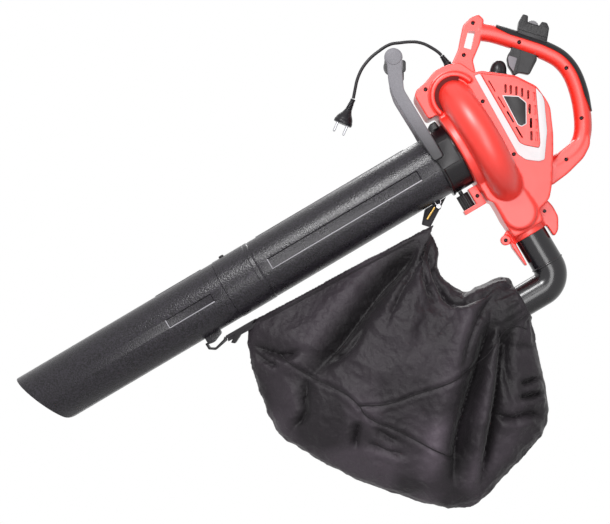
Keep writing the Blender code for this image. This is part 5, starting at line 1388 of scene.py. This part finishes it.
# %% Selector
SELECTOR_PLACE = (0.0948, 0.0856)
SELECTOR_LEAN = math.radians(51.5)
SELECTOR_FOOT = 0.007
SELECTOR_RADIUS = 0.0155
SELECTOR_HEIGHT = 0.030
SELECTOR_GROOVES = 16
base = at(*SELECTOR_PLACE)
up = (math.cos(SELECTOR_LEAN), 0, math.sin(SELECTOR_LEAN))
rim = SELECTOR_RADIUS + 0.002
top = SEAT + SELECTOR_FOOT
foot = turned([(SEAT, 0.0045), (SEAT, rim), (top - 0.0012, rim), (top - 0.0004, rim - 0.0004),
               (top, rim - 0.0012), (top, 0.0045)], base, up, 96, ring=True)
piece(foot, "selector_foot", part_plastic, replaces=["selector_base"])
low = top + SEAT
dome = [(low + (SELECTOR_HEIGHT - low) * math.sin(a), SELECTOR_RADIUS * math.cos(a) ** 0.8)
        for a in (math.radians(d) for d in range(0, 88, 6))]
knob = turned([(SEAT + 0.0005, 0), (SEAT + 0.0005, 0.0042), (low, 0.0042), *dome, (SELECTOR_HEIGHT, 0)],
              (0, 0, 0), (0, 0, 1), 96)
for k in range(SELECTOR_GROOVES):
    angle = 2 * math.pi * k / SELECTOR_GROOVES
    reach = Vector((math.cos(angle), math.sin(angle), 0)) * (SELECTOR_RADIUS + 0.0007)
    knob = cut(knob, rod(reach + Vector((0, 0, low + 0.0022)), reach + Vector((0, 0, low + 0.012)),
                         0.0013, 16))
shrunk = [(h, max(0.0, r - 0.0008)) for h, r in dome if h < SELECTOR_HEIGHT - 0.001]
core = turned([(0.012, 0), *[p for p in shrunk if p[0] > 0.0121], (SELECTOR_HEIGHT - 0.0010, 0)],
              (0, 0, 0), (0, 0, 1), 96)
knob = cut(knob, cut(box((-0.0010, -0.0135, 0.0130), (0.0010, 0.0135, 0.0320)), core))
knob.data.transform(Matrix.Translation(base) @ Vector(up).to_track_quat("Z", "Y").to_matrix().to_4x4())
piece(knob, "selector_dome", part_plastic, "selector_knob", replaces=["selector_knob"])
print("grip, dial and selector ready")

# %% [markdown]
# ## Outlet pipe
#
# The blown leaves leave through a smooth pipe: a straight sleeve, then a tight elbow that turns
# towards the bag. The sleeve's lower rim and the elbow's shoulder make the dark ring between them.

# %% Sleeve, elbow and the bag's collar
SLEEVE_RADIUS = 0.030
SLEEVE_FLARE = 0.0015
SLEEVE_END = -0.260
SLEEVE_TOP = -0.172
PIPE_BORE = 0.0252
PIPE_SOCKET = 0.0285
PIPE_SOCKET_DEPTH = 0.025
ELBOW_RADIUS = 0.030
BEND_RADIUS = 0.033
LEG_END = -0.112
BAG_COLLAR_RADIUS = 0.0335
BAG_MOUTH = -0.0775

spigot = DUCT_BORE - SEAT
seat_v = DUCT_END - SEAT
socket_v = SLEEVE_END + PIPE_SOCKET_DEPTH
sleeve = turned([
    (SLEEVE_TOP, spigot), (seat_v, spigot), (seat_v, SLEEVE_RADIUS), (SLEEVE_END + 0.004, SLEEVE_RADIUS),
    (SLEEVE_END + 0.0026, SLEEVE_RADIUS + SLEEVE_FLARE - 0.0002),
    (SLEEVE_END + 0.0012, SLEEVE_RADIUS + SLEEVE_FLARE),
    (SLEEVE_END + 0.0002, SLEEVE_RADIUS + SLEEVE_FLARE - 0.0006), (SLEEVE_END, SLEEVE_RADIUS),
    (SLEEVE_END, PIPE_SOCKET), (socket_v, PIPE_SOCKET), (socket_v, PIPE_BORE), (SLEEVE_TOP, PIPE_BORE)],
    (DUCT_U, 0, 0), (0, 0, 1), 128, ring=True)
piece(sleeve, "pipe_sleeve", pipe_plastic, replaces=["outlet_sleeve"])
elbow_start = SLEEVE_END - SEAT
bend_start = elbow_start - 0.002
leg = bend_start - BEND_RADIUS


def elbow_route(first, last, steps=32):
    points = [(DUCT_U, 0, first)]
    for k in range(steps + 1):
        a = math.pi / 2 * k / steps
        points.append((DUCT_U - BEND_RADIUS * (1 - math.cos(a)), 0, bend_start - BEND_RADIUS * math.sin(a)))
    points.append((last, 0, leg))
    return points


elbow = tube(elbow_route(elbow_start, LEG_END), ELBOW_RADIUS, 30)
collar = rod((DUCT_U, 0, elbow_start - 0.003), (DUCT_U, 0, socket_v - SEAT), PIPE_SOCKET - SEAT, 128)
elbow = join(elbow, collar)
elbow = cut(elbow, tube(elbow_route(socket_v + 0.01, LEG_END - 0.01), PIPE_BORE, 20))
piece(elbow, "pipe_elbow", pipe_plastic, replaces=["outlet_elbow"])
inner_ring = ELBOW_RADIUS + SEAT
end = BAG_MOUTH - 0.002
ring = turned([(LEG_END, inner_ring), (LEG_END, BAG_COLLAR_RADIUS - 0.0008),
               (LEG_END + 0.0008, BAG_COLLAR_RADIUS),
               *groove_profile(LEG_END + 0.012, BAG_COLLAR_RADIUS, 0.006, 0.0010),
               (end - 0.0008, BAG_COLLAR_RADIUS), (end, BAG_COLLAR_RADIUS - 0.0008), (end, inner_ring)],
              (0, 0, leg), (1, 0, 0), 128, ring=True)
piece(ring, "bag_neck_collar", part_plastic, replaces=["bag_collar"])
print("outlet ready")

# %% [markdown]
# ## The collection bag
#
# Empty, the bag hangs from three places: its neck on the pipe, a cloth tab under the collar and a
# strap on the front hook. So its top edge is drawn straight between two of them, folds fan out from
# all three, and the cloth below falls in soft facets. The shape is worked out in four steps: a
# cushion drawn out to the bag's outline, the neck joined to it, a fine even mesh, and then every
# point is moved across the bag by the folds, the seams and a crumple made of noise.

# %% Outline and folds of the bag
BAG_MIDDLE = Vector((-0.235, -0.600))
BAG_HALF = 0.078
FOLD_GAIN = 2.1
BAG_OUTLINE = (
    (-0.507, -0.509), (-0.516, -0.527), (-0.514, -0.572), (-0.503, -0.611), (-0.491, -0.644),
    (-0.479, -0.679), (-0.468, -0.706), (-0.453, -0.725), (-0.394, -0.763), (-0.337, -0.791),
    (-0.281, -0.815), (-0.218, -0.840), (-0.161, -0.853), (-0.122, -0.856), (-0.085, -0.840),
    (-0.032, -0.789), (0.011, -0.741), (0.032, -0.709), (0.036, -0.670), (0.030, -0.614),
    (0.019, -0.561), (0.008, -0.509), (-0.009, -0.474), (-0.024, -0.446), (-0.031, -0.431),
    (-0.047, -0.429), (-0.068, -0.437), (-0.091, -0.448), (-0.113, -0.456), (-0.137, -0.445),
    (-0.155, -0.427), (-0.165, -0.405), (-0.163, -0.381), (-0.180, -0.345), (-0.198, -0.344),
)
TOP_EDGE = ((-0.198, -0.344), (-0.507, -0.509))
BAG_VOXEL = 0.0028
BAG_RINGS = 40
BAG_RIM_STEP = 0.006
MOUTH_RADIUS = 0.0375
NECK_ROOT_RADIUS = 0.055
NECK_LENGTH = 0.095
FOLDS = (
    (0.0150, 0.018, ((-0.188, -0.354), (-0.225, -0.393), (-0.271, -0.445), (-0.321, -0.512),
                     (-0.361, -0.563), (-0.404, -0.614))),
    (0.0035, 0.005, ((-0.181, -0.361), (-0.205, -0.402), (-0.235, -0.456), (-0.262, -0.520))),
    (0.0060, 0.006, ((-0.185, -0.361), (-0.192, -0.402), (-0.185, -0.443), (-0.170, -0.480))),
    (0.0060, 0.005, ((-0.174, -0.358), (-0.177, -0.402), (-0.163, -0.443), (-0.141, -0.478))),
    (0.0175, 0.017, ((-0.048, -0.456), (-0.067, -0.524), (-0.095, -0.600), (-0.117, -0.672),
                     (-0.132, -0.745), (-0.139, -0.814))),
    (0.0120, 0.009, ((-0.030, -0.463), (-0.042, -0.542), (-0.055, -0.615), (-0.066, -0.694),
                     (-0.078, -0.772), (-0.084, -0.817))),
    (0.0070, 0.008, ((-0.056, -0.452), (-0.088, -0.492), (-0.110, -0.542), (-0.124, -0.600))),
    (0.0060, 0.010, ((-0.033, -0.470), (-0.033, -0.525), (-0.040, -0.597), (-0.033, -0.652))),
    (0.0070, 0.006, ((-0.167, -0.449), (-0.152, -0.469), (-0.134, -0.477), (-0.116, -0.477),
                     (-0.090, -0.465), (-0.061, -0.447))),
    (0.0060, 0.009, ((-0.407, -0.612), (-0.410, -0.648), (-0.412, -0.681), (-0.436, -0.710))),
    (0.0060, 0.008, ((-0.309, -0.687), (-0.316, -0.716), (-0.316, -0.741))),
    (0.0060, 0.007, ((-0.510, -0.553), (-0.477, -0.566), (-0.441, -0.572), (-0.418, -0.562))),
    (0.0050, 0.005, ((-0.506, -0.566), (-0.481, -0.584), (-0.455, -0.592))),
    (0.0045, 0.005, ((-0.300, -0.520), (-0.330, -0.560), (-0.372, -0.590))),
    (0.0050, 0.006, ((-0.024, -0.555), (0.002, -0.555), (0.014, -0.560))),
    (0.0060, 0.005, ((-0.016, -0.625), (0.006, -0.618), (0.026, -0.614))),
    (0.0060, 0.005, ((-0.020, -0.648), (0.006, -0.646), (0.030, -0.641))),
    (0.0060, 0.006, ((-0.065, -0.678), (-0.032, -0.686), (0.001, -0.678), (0.028, -0.689))),
    (0.0035, 0.006, ((-0.281, -0.700), (-0.262, -0.716), (-0.238, -0.728))),
    (0.0035, 0.005, ((-0.296, -0.728), (-0.258, -0.744), (-0.225, -0.752))),
)
SEAMS = (
    ((-0.454, -0.574), (-0.417, -0.599), (-0.390, -0.614), (-0.348, -0.632), (-0.327, -0.644),
     (-0.310, -0.660), (-0.298, -0.678), (-0.273, -0.693), (-0.249, -0.702), (-0.204, -0.725),
     (-0.161, -0.747), (-0.143, -0.759)),
    ((-0.310, -0.660), (-0.271, -0.659), (-0.236, -0.650), (-0.208, -0.639), (-0.164, -0.625),
     (-0.125, -0.607), (-0.082, -0.575), (-0.056, -0.542), (-0.038, -0.522), (-0.020, -0.519),
     (-0.004, -0.524)),
)
HEM_WIDTH = 0.010
# fold depth over which the painted shade darkens the cloth in the folds
FOLD_SHADE_DEPTH = 0.016


def distance_to(points, x, z):
    """For each place, the distance to a line of points, the side it lies on and its share along it."""
    best = np.full(x.shape, 9.0)
    side = np.ones(x.shape)
    share = np.zeros(x.shape)
    lengths = [math.dist(a, b) for a, b in zip(points, points[1:])]
    whole = sum(lengths)
    done = 0.0
    for (ax, az), (bx, bz), length in zip(points, points[1:], lengths):
        t = np.clip(((x - ax) * (bx - ax) + (z - az) * (bz - az)) / length ** 2, 0, 1)
        away = np.hypot(x - ax - t * (bx - ax), z - az - t * (bz - az))
        turn = np.sign((bx - ax) * (z - az) - (bz - az) * (x - ax))
        nearer = away < best
        best = np.where(nearer, away, best)
        side = np.where(nearer, turn, side)
        share = np.where(nearer, (done + t * length) / whole, share)
        done += length
    return best, side, share


def fold_depth(x, z, mirrored=1.0):
    """How far the folds and seams sink the cloth at each place of one side of the bag."""
    sunk = np.zeros(x.shape)
    for depth, width, route in FOLDS:
        fine = [(p.x, p.z) for p in smooth_route([(a, 0, b) for a, b in route], 0.02)]
        away, side, share = distance_to(fine, x, z)
        fade = np.clip(np.minimum(share, 1 - share) * 5, 0, 1) * 0.85 + 0.15
        across = away * side * mirrored
        valley = np.exp(-(np.abs(across) / width) ** 1.25)
        ridge = np.exp(-((across + 2.3 * width) / (1.5 * width)) ** 2)
        sunk += FOLD_GAIN * depth * fade * (valley - 0.30 * ridge)
    for route in SEAMS:
        away, side, share = distance_to(route, x, z)
        sunk += 0.0022 * np.exp(-(away / 0.0035) ** 2) - 0.0016 * np.exp(-((away - 0.008) / 0.005) ** 2)
    away, side, share = distance_to(TOP_EDGE, x, z)
    sunk -= 0.0014 * (away < HEM_WIDTH)
    return sunk


print(len(FOLDS), "folds and", len(SEAMS), "seams on each side")

# %% Build the bag
clock = time.time()


def leg_place(u, y=0.0):
    return TO_WORLD @ Vector((u, y, leg))


rim_line = smooth_route([(a, 0, b) for a, b in (*BAG_OUTLINE, BAG_OUTLINE[0])], BAG_RIM_STEP)[:-1]
rim_count = len(rim_line)
top_normal = Vector((-0.471, 0.882))
vertices = []
for facing in (-1, 1):
    for ring_index in range(BAG_RINGS):
        share = (ring_index + 0.5) / BAG_RINGS if ring_index < BAG_RINGS - 1 else 1.0
        for point in rim_line:
            outward = Vector((point.x, point.z)) - BAG_MIDDLE
            upward = max(0.0, outward.normalized().dot(top_normal))
            full = BAG_HALF * (1 - 0.50 * upward * share)
            swell = max(0.0, 1 - share ** 2) ** (0.5 + 0.3 * upward)
            place = BAG_MIDDLE + outward * share
            vertices.append((place.x, facing * full * swell, place.y))
    vertices.append((BAG_MIDDLE.x, facing * BAG_HALF, BAG_MIDDLE.y))
faces = []
sheet_size = BAG_RINGS * rim_count + 1
for sheet_index in range(2):
    first = sheet_index * sheet_size
    for k in range(rim_count):
        after = (k + 1) % rim_count
        faces.append((first + sheet_size - 1, first + k, first + after))
        for ring_index in range(BAG_RINGS - 1):
            low = first + ring_index * rim_count
            high = low + rim_count
            faces.append((low + k, high + k, high + after, low + after))
mesh = bpy.data.meshes.new("bag")
mesh.from_pydata(vertices, [], faces)
bag = weld(loose("bag", mesh))
mouth = leg_place(BAG_MOUTH)
neck = rod(mouth, leg_place(BAG_MOUTH - NECK_LENGTH), MOUTH_RADIUS, 96, end_radius=NECK_ROOT_RADIUS)
bag = mould(join(bag, neck), BAG_VOXEL, 8)

count = len(bag.data.vertices)
places = np.empty(count * 3)
bag.data.vertices.foreach_get("co", places)
places = places.reshape(-1, 3)
x, y, z = places[:, 0], places[:, 1], places[:, 2]
flat = np.clip(np.abs(y) / 0.018, 0, 1)
neck_way = (leg_place(BAG_MOUTH - NECK_LENGTH) - mouth).normalized()
from_mouth = places - np.array(mouth)
along_neck = from_mouth @ np.array(neck_way)
free = np.clip((along_neck - 0.012) / 0.05, 0, 1)
near = y < 0
sunk = np.where(near, fold_depth(x, z), fold_depth(x - 0.012, z + 0.010, -1.0))
crumple = np.array([
    0.0050 * noise.noise(Vector(p) * 11)
    + 0.0065 * (0.35 - abs(noise.noise(Vector(p) * 20 + Vector((3, 1, 7)))))
    + 0.0026 * (0.3 - abs(noise.noise(Vector((p[0] * 55 + p[2] * 20, p[1] * 30, p[2] * 38)))))
    + 0.0008 * noise.noise(Vector(p) * 110)
    for p in places])
edge_away = distance_to(TOP_EDGE, x, z)[0]
drawn = 0.25 + 0.75 * np.clip(edge_away / 0.05, 0, 1)
bore_way = np.clip(along_neck, 0, BAG_MOUTH - LEG_END + 0.012)
from_bore = np.linalg.norm(from_mouth - np.outer(bore_way, np.array(neck_way)), axis=1)
sunk = np.minimum(sunk, np.clip(from_bore - BAG_COLLAR_RADIUS - 0.008, 0, 1))
push = (crumple * drawn - sunk * flat) * free
about = from_mouth - np.outer(along_neck, np.array(neck_way))
round_mouth = np.arctan2(about[:, 1], about[:, 2] * 0.86 - about[:, 0] * 0.51)
pleats = 0.0016 * np.cos(round_mouth * 18) * np.exp(-np.clip(along_neck - 0.010, 0, 1) / 0.03)
pleats *= (np.abs(np.linalg.norm(about, axis=1)) < 0.075) * np.clip((along_neck - 0.007) / 0.004, 0, 1)
normals = np.empty(count * 3)
bag.data.vertices.foreach_get("normal", normals)
places += normals.reshape(-1, 3) * (push + pleats)[:, None]
bag.data.vertices.foreach_set("co", places.ravel())
bag.data.update()
bag = cut(bag, rod(leg_place(LEG_END - 0.012), leg_place(BAG_MOUTH + 0.01), BAG_COLLAR_RADIUS + SEAT, 96),
          solver="MANIFOLD")
count = len(bag.data.vertices)
places = np.empty(count * 3)
bag.data.vertices.foreach_get("co", places)
x, y, z = places.reshape(-1, 3).T
sunk = np.where(y < 0, fold_depth(x, z), fold_depth(x - 0.012, z + 0.010, -1.0))
# noise patches of painted light on the cloth's facets, stronger on the coated lower panel
patches = np.array([noise.noise(Vector(p) * 15 + Vector((5, 2, 9))) for p in places.reshape(-1, 3)])
coated = np.clip((-0.60 - z) / 0.06, 0, 1)
# painted shade in the folds and painted light on the ridges, from the fold depth
painted_fold_shading = np.clip(np.exp(-sunk / FOLD_SHADE_DEPTH), 0.28, 1.8)
painted_fold_shading = painted_fold_shading * (1 + (0.12 + 0.45 * coated) * np.clip(patches * 3, -0.8, 1))
bag.data.attributes.new("painted_fold_shading", "FLOAT", "POINT").data.foreach_set("value", painted_fold_shading)
print(f"bag with {len(bag.data.polygons)} faces, {time.time() - clock:.0f} s")

# %% [markdown]
# ## Cloth, seams and webbing
#
# The cloth is a thin woven polyester, nearly matt, and paler on the lower panel, which is coated. Its
# weave is two fine waves at right angles. A value at each point of the mesh, worked out from the depth
# of the folds, paints shade into the folds and painted light onto the ridges, with patches of painted
# light on the facets, stronger on the lower panel. The seams are cords of folded cloth that lie on the
# surface: each point of a seam is dropped onto the bag from the side.

# %% Cloth, seams, hem and piping
from mathutils.bvhtree import BVHTree


def woven(name, colour, roughness, pitch, depth, crease, sheen=0.10, turn=(0, 0, 0), paler_below=None,
          painted_fold_shading=False):
    look = Look(name, colour, roughness, Sheen_Weight=sheen, Sheen_Roughness=0.45, Specular_IOR_Level=0.22)
    for axis in ("X", "Z"):
        wave = look.made.new("ShaderNodeTexWave")
        wave.bands_direction = axis
        wave.inputs["Scale"].default_value = 0.314 / pitch
        look.links.new(look.stretched((1, 1, 1), turn), wave.inputs["Vector"])
        look.lift(wave.outputs["Fac"], depth)
    look.lift(look.noise(0.016, 4, rough=0.62), crease)
    look.shade(look.noise(0.09, 3), 0.16)
    look.shade(look.noise(0.0022, 2), 0.10)
    # the point value multiplies the colour: painted shade in folds, painted light on ridges and facets
    if painted_fold_shading:
        tone = look.made.new("ShaderNodeAttribute")
        tone.attribute_name = "painted_fold_shading"
        look.factors.append(tone.outputs["Fac"])
    if paler_below:
        split = look.made.new("ShaderNodeSeparateXYZ")
        look.links.new(look.place, split.inputs[0])
        look.factors.append(look.ramp(split.outputs["Z"], *paler_below))
    return look.finish(0.12)


bag_cloth = woven("bag_cloth", linear(43, 38, 43), 0.44, 0.0011, 0.00006, 0.0030,
                  paler_below=(-0.74, -0.62, 1.45, 1.0), painted_fold_shading=True)
seam_cloth = woven("seam_cloth", linear(30, 27, 30), 0.7, 0.0009, 0.00006, 0.0001)
webbing_cloth = woven("webbing_cloth", linear(46, 44, 47), 0.62, 0.0018, 0.00012, 0.0001,
                      turn=(0, LEAN, 0))
surface = BVHTree.FromPolygons([v.co.copy() for v in bag.data.vertices],
                               [tuple(p.vertices) for p in bag.data.polygons])


def on_bag(route, facing, spacing=0.005, lift=0.0003):
    """Points of a route, dropped onto the near (-1) or far (1) side of the bag."""
    points = []
    for p in smooth_route([(a, 0, b) for a, b in route], spacing):
        hit = surface.ray_cast(Vector((p.x, facing * 0.3, p.z)), Vector((0, -facing, 0)))[0]
        if hit is not None and hit.y * facing > 0:
            points.append(hit + Vector((0, facing * lift, 0)))
    return points


def shifted(route, distance):
    """A two-point route moved down and inward by a distance."""
    (ax, az), (bx, bz) = route
    way = Vector((bx - ax, bz - az)).normalized()
    aside = Vector((-way.y, way.x)) if way.x < 0 else Vector((way.y, -way.x))
    aside = aside if aside.y < 0 else -aside
    return [(x + aside.x * distance, z + aside.y * distance) for x, z in ((ax, az), (bx, bz))]


piece(bag, "leaf_bag", bag_cloth, replaces=["bag"], upright=True, crease=70)
seam_pieces = []
for name, facing in (("near", -1), ("far", 1)):
    for i, route in enumerate(SEAMS):
        line = smooth_route(on_bag(route, facing), 0.003)
        seam_pieces.append(piece(tube(line, 0.0011, 4), f"bag_seam_{name}_{i + 1}", seam_cloth,
                                 upright=True))
    for i, distance in enumerate((HEM_WIDTH, HEM_WIDTH - 0.002)):
        ends = shifted(TOP_EDGE, distance)
        (ax, az), (bx, bz) = ends
        ends = [(ax + (bx - ax) * t, az + (bz - az) * t) for t in (0.05, 0.97)]
        line = on_bag(ends, facing, 0.004)
        seam_pieces.append(piece(tube(line, 0.0007, 3), f"hem_stitch_{name}_{i + 1}", seam_cloth,
                                 upright=True))
print(len(seam_pieces), "seams and stitch rows")

# %% [markdown]
# ## Straps, hook and slider
#
# The bag's front corner hangs by a webbing strap from a hook under the lower tube, and a slider sets
# the strap's length. At the back a folded cloth tab hangs from a pin under the upper tube, with a
# small snap hook sewn to its face. Webbing keeps its thickness, so it is a plate with rounded rims.

# %% Webbing, hook, slider and pin
STRAP_HALF = 0.010
FRONT_HOOK = (
    (-0.5840, -TUBE_RADIUS - 0.0140), (-0.5830, -TUBE_RADIUS - 0.0230), (-0.6100, -TUBE_RADIUS - 0.0280),
    (-0.6215, -TUBE_RADIUS - 0.0200), (-0.6215, -TUBE_RADIUS - 0.0080), (-0.6173, -TUBE_RADIUS - 0.0080),
    (-0.6173, -TUBE_RADIUS - 0.0185), (-0.6090, -TUBE_RADIUS - 0.0235), (-0.5880, -TUBE_RADIUS - 0.0180),
)
REAR_PIN_HEAD = 0.0048
REAR_PIN_HEAD_LENGTH = 0.0025
REAR_STRAP_TOP = ((-0.1465, -TUBE_RADIUS - 0.0006), (-0.1000, -TUBE_RADIUS - 0.0006))
REAR_STRAP_FOOT = ((-0.1790, -0.3375), (-0.1950, -0.3325))
FRONT_STRAP = (
    (-0.5567, -0.5374), (-0.5552, -0.5434), (-0.5110, -0.5195), (-0.5020, -0.5060), (-0.5110, -0.5110),
)
SLIDER_GROWTH = 1.35
SLIDER = ((-0.5375, -0.5345), (-0.5255, -0.5290), (-0.5380, -0.5485), (-0.5440, -0.5475))
SNAP_ROUTE = ((-0.1650, 0, -0.2900), (-0.1710, 0, -0.2995), (-0.1790, 0, -0.3125), (-0.1850, 0, -0.3225))


def in_world(u, v):
    place = TO_WORLD @ Vector((u, 0, v))
    return (place.x, place.z)


hook = plate(rounded(FRONT_HOOK, 0.002, 6), -FRONT_LUG_HALF, FRONT_LUG_HALF, edge=0.0008)
piece(hook, "bag_hook", part_plastic, replaces=["front_hook"])
strap = plate(rounded(FRONT_STRAP, 0.0012), -STRAP_HALF, STRAP_HALF, edge=0.0006)
folded = [(x + 0.0035, z - 0.0048) for x, z in FRONT_STRAP]
under = plate(rounded(folded, 0.0012), -STRAP_HALF + 0.0015, STRAP_HALF - 0.0015, edge=0.0006)
piece(under, "front_webbing_fold", webbing_cloth, upright=True)
piece(strap, "front_webbing", webbing_cloth, replaces=["front_strap"], upright=True)
middle = [sum(p[i] for p in SLIDER) / len(SLIDER) for i in range(2)]
wider = [tuple(middle[i] + (p[i] - middle[i]) * SLIDER_GROWTH for i in range(2)) for p in SLIDER]
slider = plate(rounded(wider, 0.0016), -STRAP_HALF - 0.002, STRAP_HALF + 0.002, edge=0.0008)
for side in (-1, 1):
    slider = cut(slider, box((middle[0] - 0.02, side * 0.0045 - 0.0022, middle[1] - 0.0022),
                             (middle[0] + 0.02, side * 0.0045 + 0.0022, middle[1] + 0.0022)))
piece(slider, "webbing_slider", part_plastic, replaces=["strap_slider"], upright=True)

tab = [in_world(*p) for p in REAR_STRAP_TOP] + list(REAR_STRAP_FOOT)
eye = TO_WORLD @ Vector(at(*REAR_PIN))
tab_plate = plate(rounded(tab, 0.002), -WEBBING / 2, WEBBING / 2, edge=0.0006)
tab_plate = cut(tab_plate, rod(eye - Vector((0, 0.01, 0)), eye + Vector((0, 0.01, 0)),
                               REAR_PIN_RADIUS + SEAT, 32))
piece(tab_plate, "rear_tab", webbing_cloth, replaces=["rear_strap"], upright=True)
front = -WEBBING / 2 - SEAT
end = REAR_PIN_HEAD_LENGTH + WEBBING + REAR_LUG_DEPTH - 0.001
head_low = REAR_PIN_HEAD - 0.0010
pin = turned([(0, 0), (0, head_low), (0.0010, REAR_PIN_HEAD), (REAR_PIN_HEAD_LENGTH, REAR_PIN_HEAD),
              (REAR_PIN_HEAD_LENGTH, REAR_PIN_RADIUS), (end, REAR_PIN_RADIUS), (end, 0)],
             at(*REAR_PIN, front - REAR_PIN_HEAD_LENGTH), (0, 1, 0), 48)
piece(pin, "tab_pin", steel_look, replaces=["rear_strap_pin"])

brass = Look("brass", linear(196, 160, 92), 0.30, Metallic=1.0)
brass.shade(brass.noise(0.003, 3), 0.15)
brass.lift(brass.noise(0.0012, 2), 0.00002)
brass_look = brass.finish()
snap_face = -WEBBING / 2 - 0.0026
snap_line = smooth_route([Vector(p) + Vector((0, snap_face, 0)) for p in SNAP_ROUTE], 0.002)
snap_body = tube(snap_line[len(snap_line) // 3:], 0.0023, 8)
ring_middle = snap_line[0]
ring_radius = 0.0050
ring_points = [ring_middle + Vector((ring_radius * math.cos(a), 0, ring_radius * 1.4 * math.sin(a)))
               for a in (math.radians(15 * k) for k in range(24))]
piece(tube(ring_points, 0.0012, 6, closed=True), "tab_ring", steel_look, upright=True)
piece(snap_body, "tab_snap_hook", brass_look, upright=True)
for i, share in enumerate((0.12, 0.88)):
    low = Vector(tab[0]).lerp(Vector(tab[1]), share)
    high = Vector(tab[3]).lerp(Vector(tab[2]), share)
    line = [Vector((p.x, -WEBBING / 2 - 0.0001, p.y))
            for p in (low.lerp(high, 0.06 + 0.88 * k / 12) for k in range(13))]
    piece(tube(line, 0.0005, 3), f"tab_stitch_{i + 1}", seam_cloth, upright=True)
print("straps ready")

# %% [markdown]
# ## What hides inside the casing
#
# The motor, the fan and the trigger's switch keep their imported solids. They still get materials that
# tell what they are: stacked steel sheets on the stator and armature, copper bars round the
# commutator, balls between the bearings' rings, fine turning marks on the shaft and the pins.

# %% Materials of the inner pieces
def turned_place(look):
    """Distance along the motor's axis, distance from it and angle about it, as shader values."""
    split = look.made.new("ShaderNodeSeparateXYZ")
    look.links.new(look.place, split.inputs[0])
    x, y, z = split.outputs
    c = math.cos(LEAN)
    s = math.sin(LEAN)
    along = look.math("ADD", look.math("MULTIPLY", x, c), look.math("MULTIPLY", z, s))
    aside = look.math("ADD", look.math("MULTIPLY_ADD", x, -s, GRIP_MIDDLE[1]), look.math("MULTIPLY", z, c))
    reach = look.math("SQRT", look.math("ADD", look.math("MULTIPLY", y, y),
                                        look.math("MULTIPLY", aside, aside)))
    return along, reach, look.math("ARCTAN2", y, aside)


def stripes(look, value, pitch):
    """A wave from 0 to 1 along a value, once in each pitch."""
    turn = look.math("MULTIPLY", value, 2 * math.pi / pitch)
    return look.math("MULTIPLY_ADD", look.math("SINE", turn), 0.5, 0.5)


def metal(name, colour, roughness, pattern=None, pitch=0.001, depth=0.00003, contrast=0.3):
    look = Look(name, colour, roughness, Metallic=1.0)
    look.shade(look.noise(0.004, 3), 0.12)
    along, reach, angle = turned_place(look)
    if pattern:
        value = {"along": along, "reach": reach, "angle": angle}[pattern]
        wave = stripes(look, value, pitch)
        look.shade(wave, contrast)
        look.lift(wave, depth)
    return look.finish()


sheet_steel = metal("stacked_sheet_steel", linear(74, 72, 76), 0.55, "along", 0.0010, 0.00006)
commutator_copper = metal("commutator_copper", linear(205, 128, 82), 0.32, "angle", 2 * math.pi / 24,
                          0.0002, 0.4)
bearing_steel = metal("bearing_steel", linear(186, 187, 192), 0.22, "reach", 0.0045, 0.0003, 0.35)
turned_steel = metal("turned_steel", linear(178, 178, 182), 0.26, "along", 0.0006, 0.00001, 0.10)
brush_brass = metal("brush_brass", linear(190, 150, 86), 0.38)
fan_alloy = metal("cast_fan_alloy", linear(150, 152, 156), 0.44, "reach", 0.0020, 0.00002, 0.06)
INNER_LOOKS = {
    "motor_stator": sheet_steel, "motor_armature": sheet_steel, "commutator": commutator_copper,
    "front_bearing": bearing_steel, "rear_bearing": bearing_steel, "motor_shaft": turned_steel,
    "brush_holder_near": brush_brass, "brush_holder_far": brush_brass, "impeller": fan_alloy,
    "trigger_switch": part_plastic, "trigger_pin": turned_steel, "dial_pin": turned_steel,
}
for name, look in INNER_LOOKS.items():
    for holder in nodes[name].material_slots:
        holder.material = look
print(len(INNER_LOOKS), "inner pieces with their own materials")
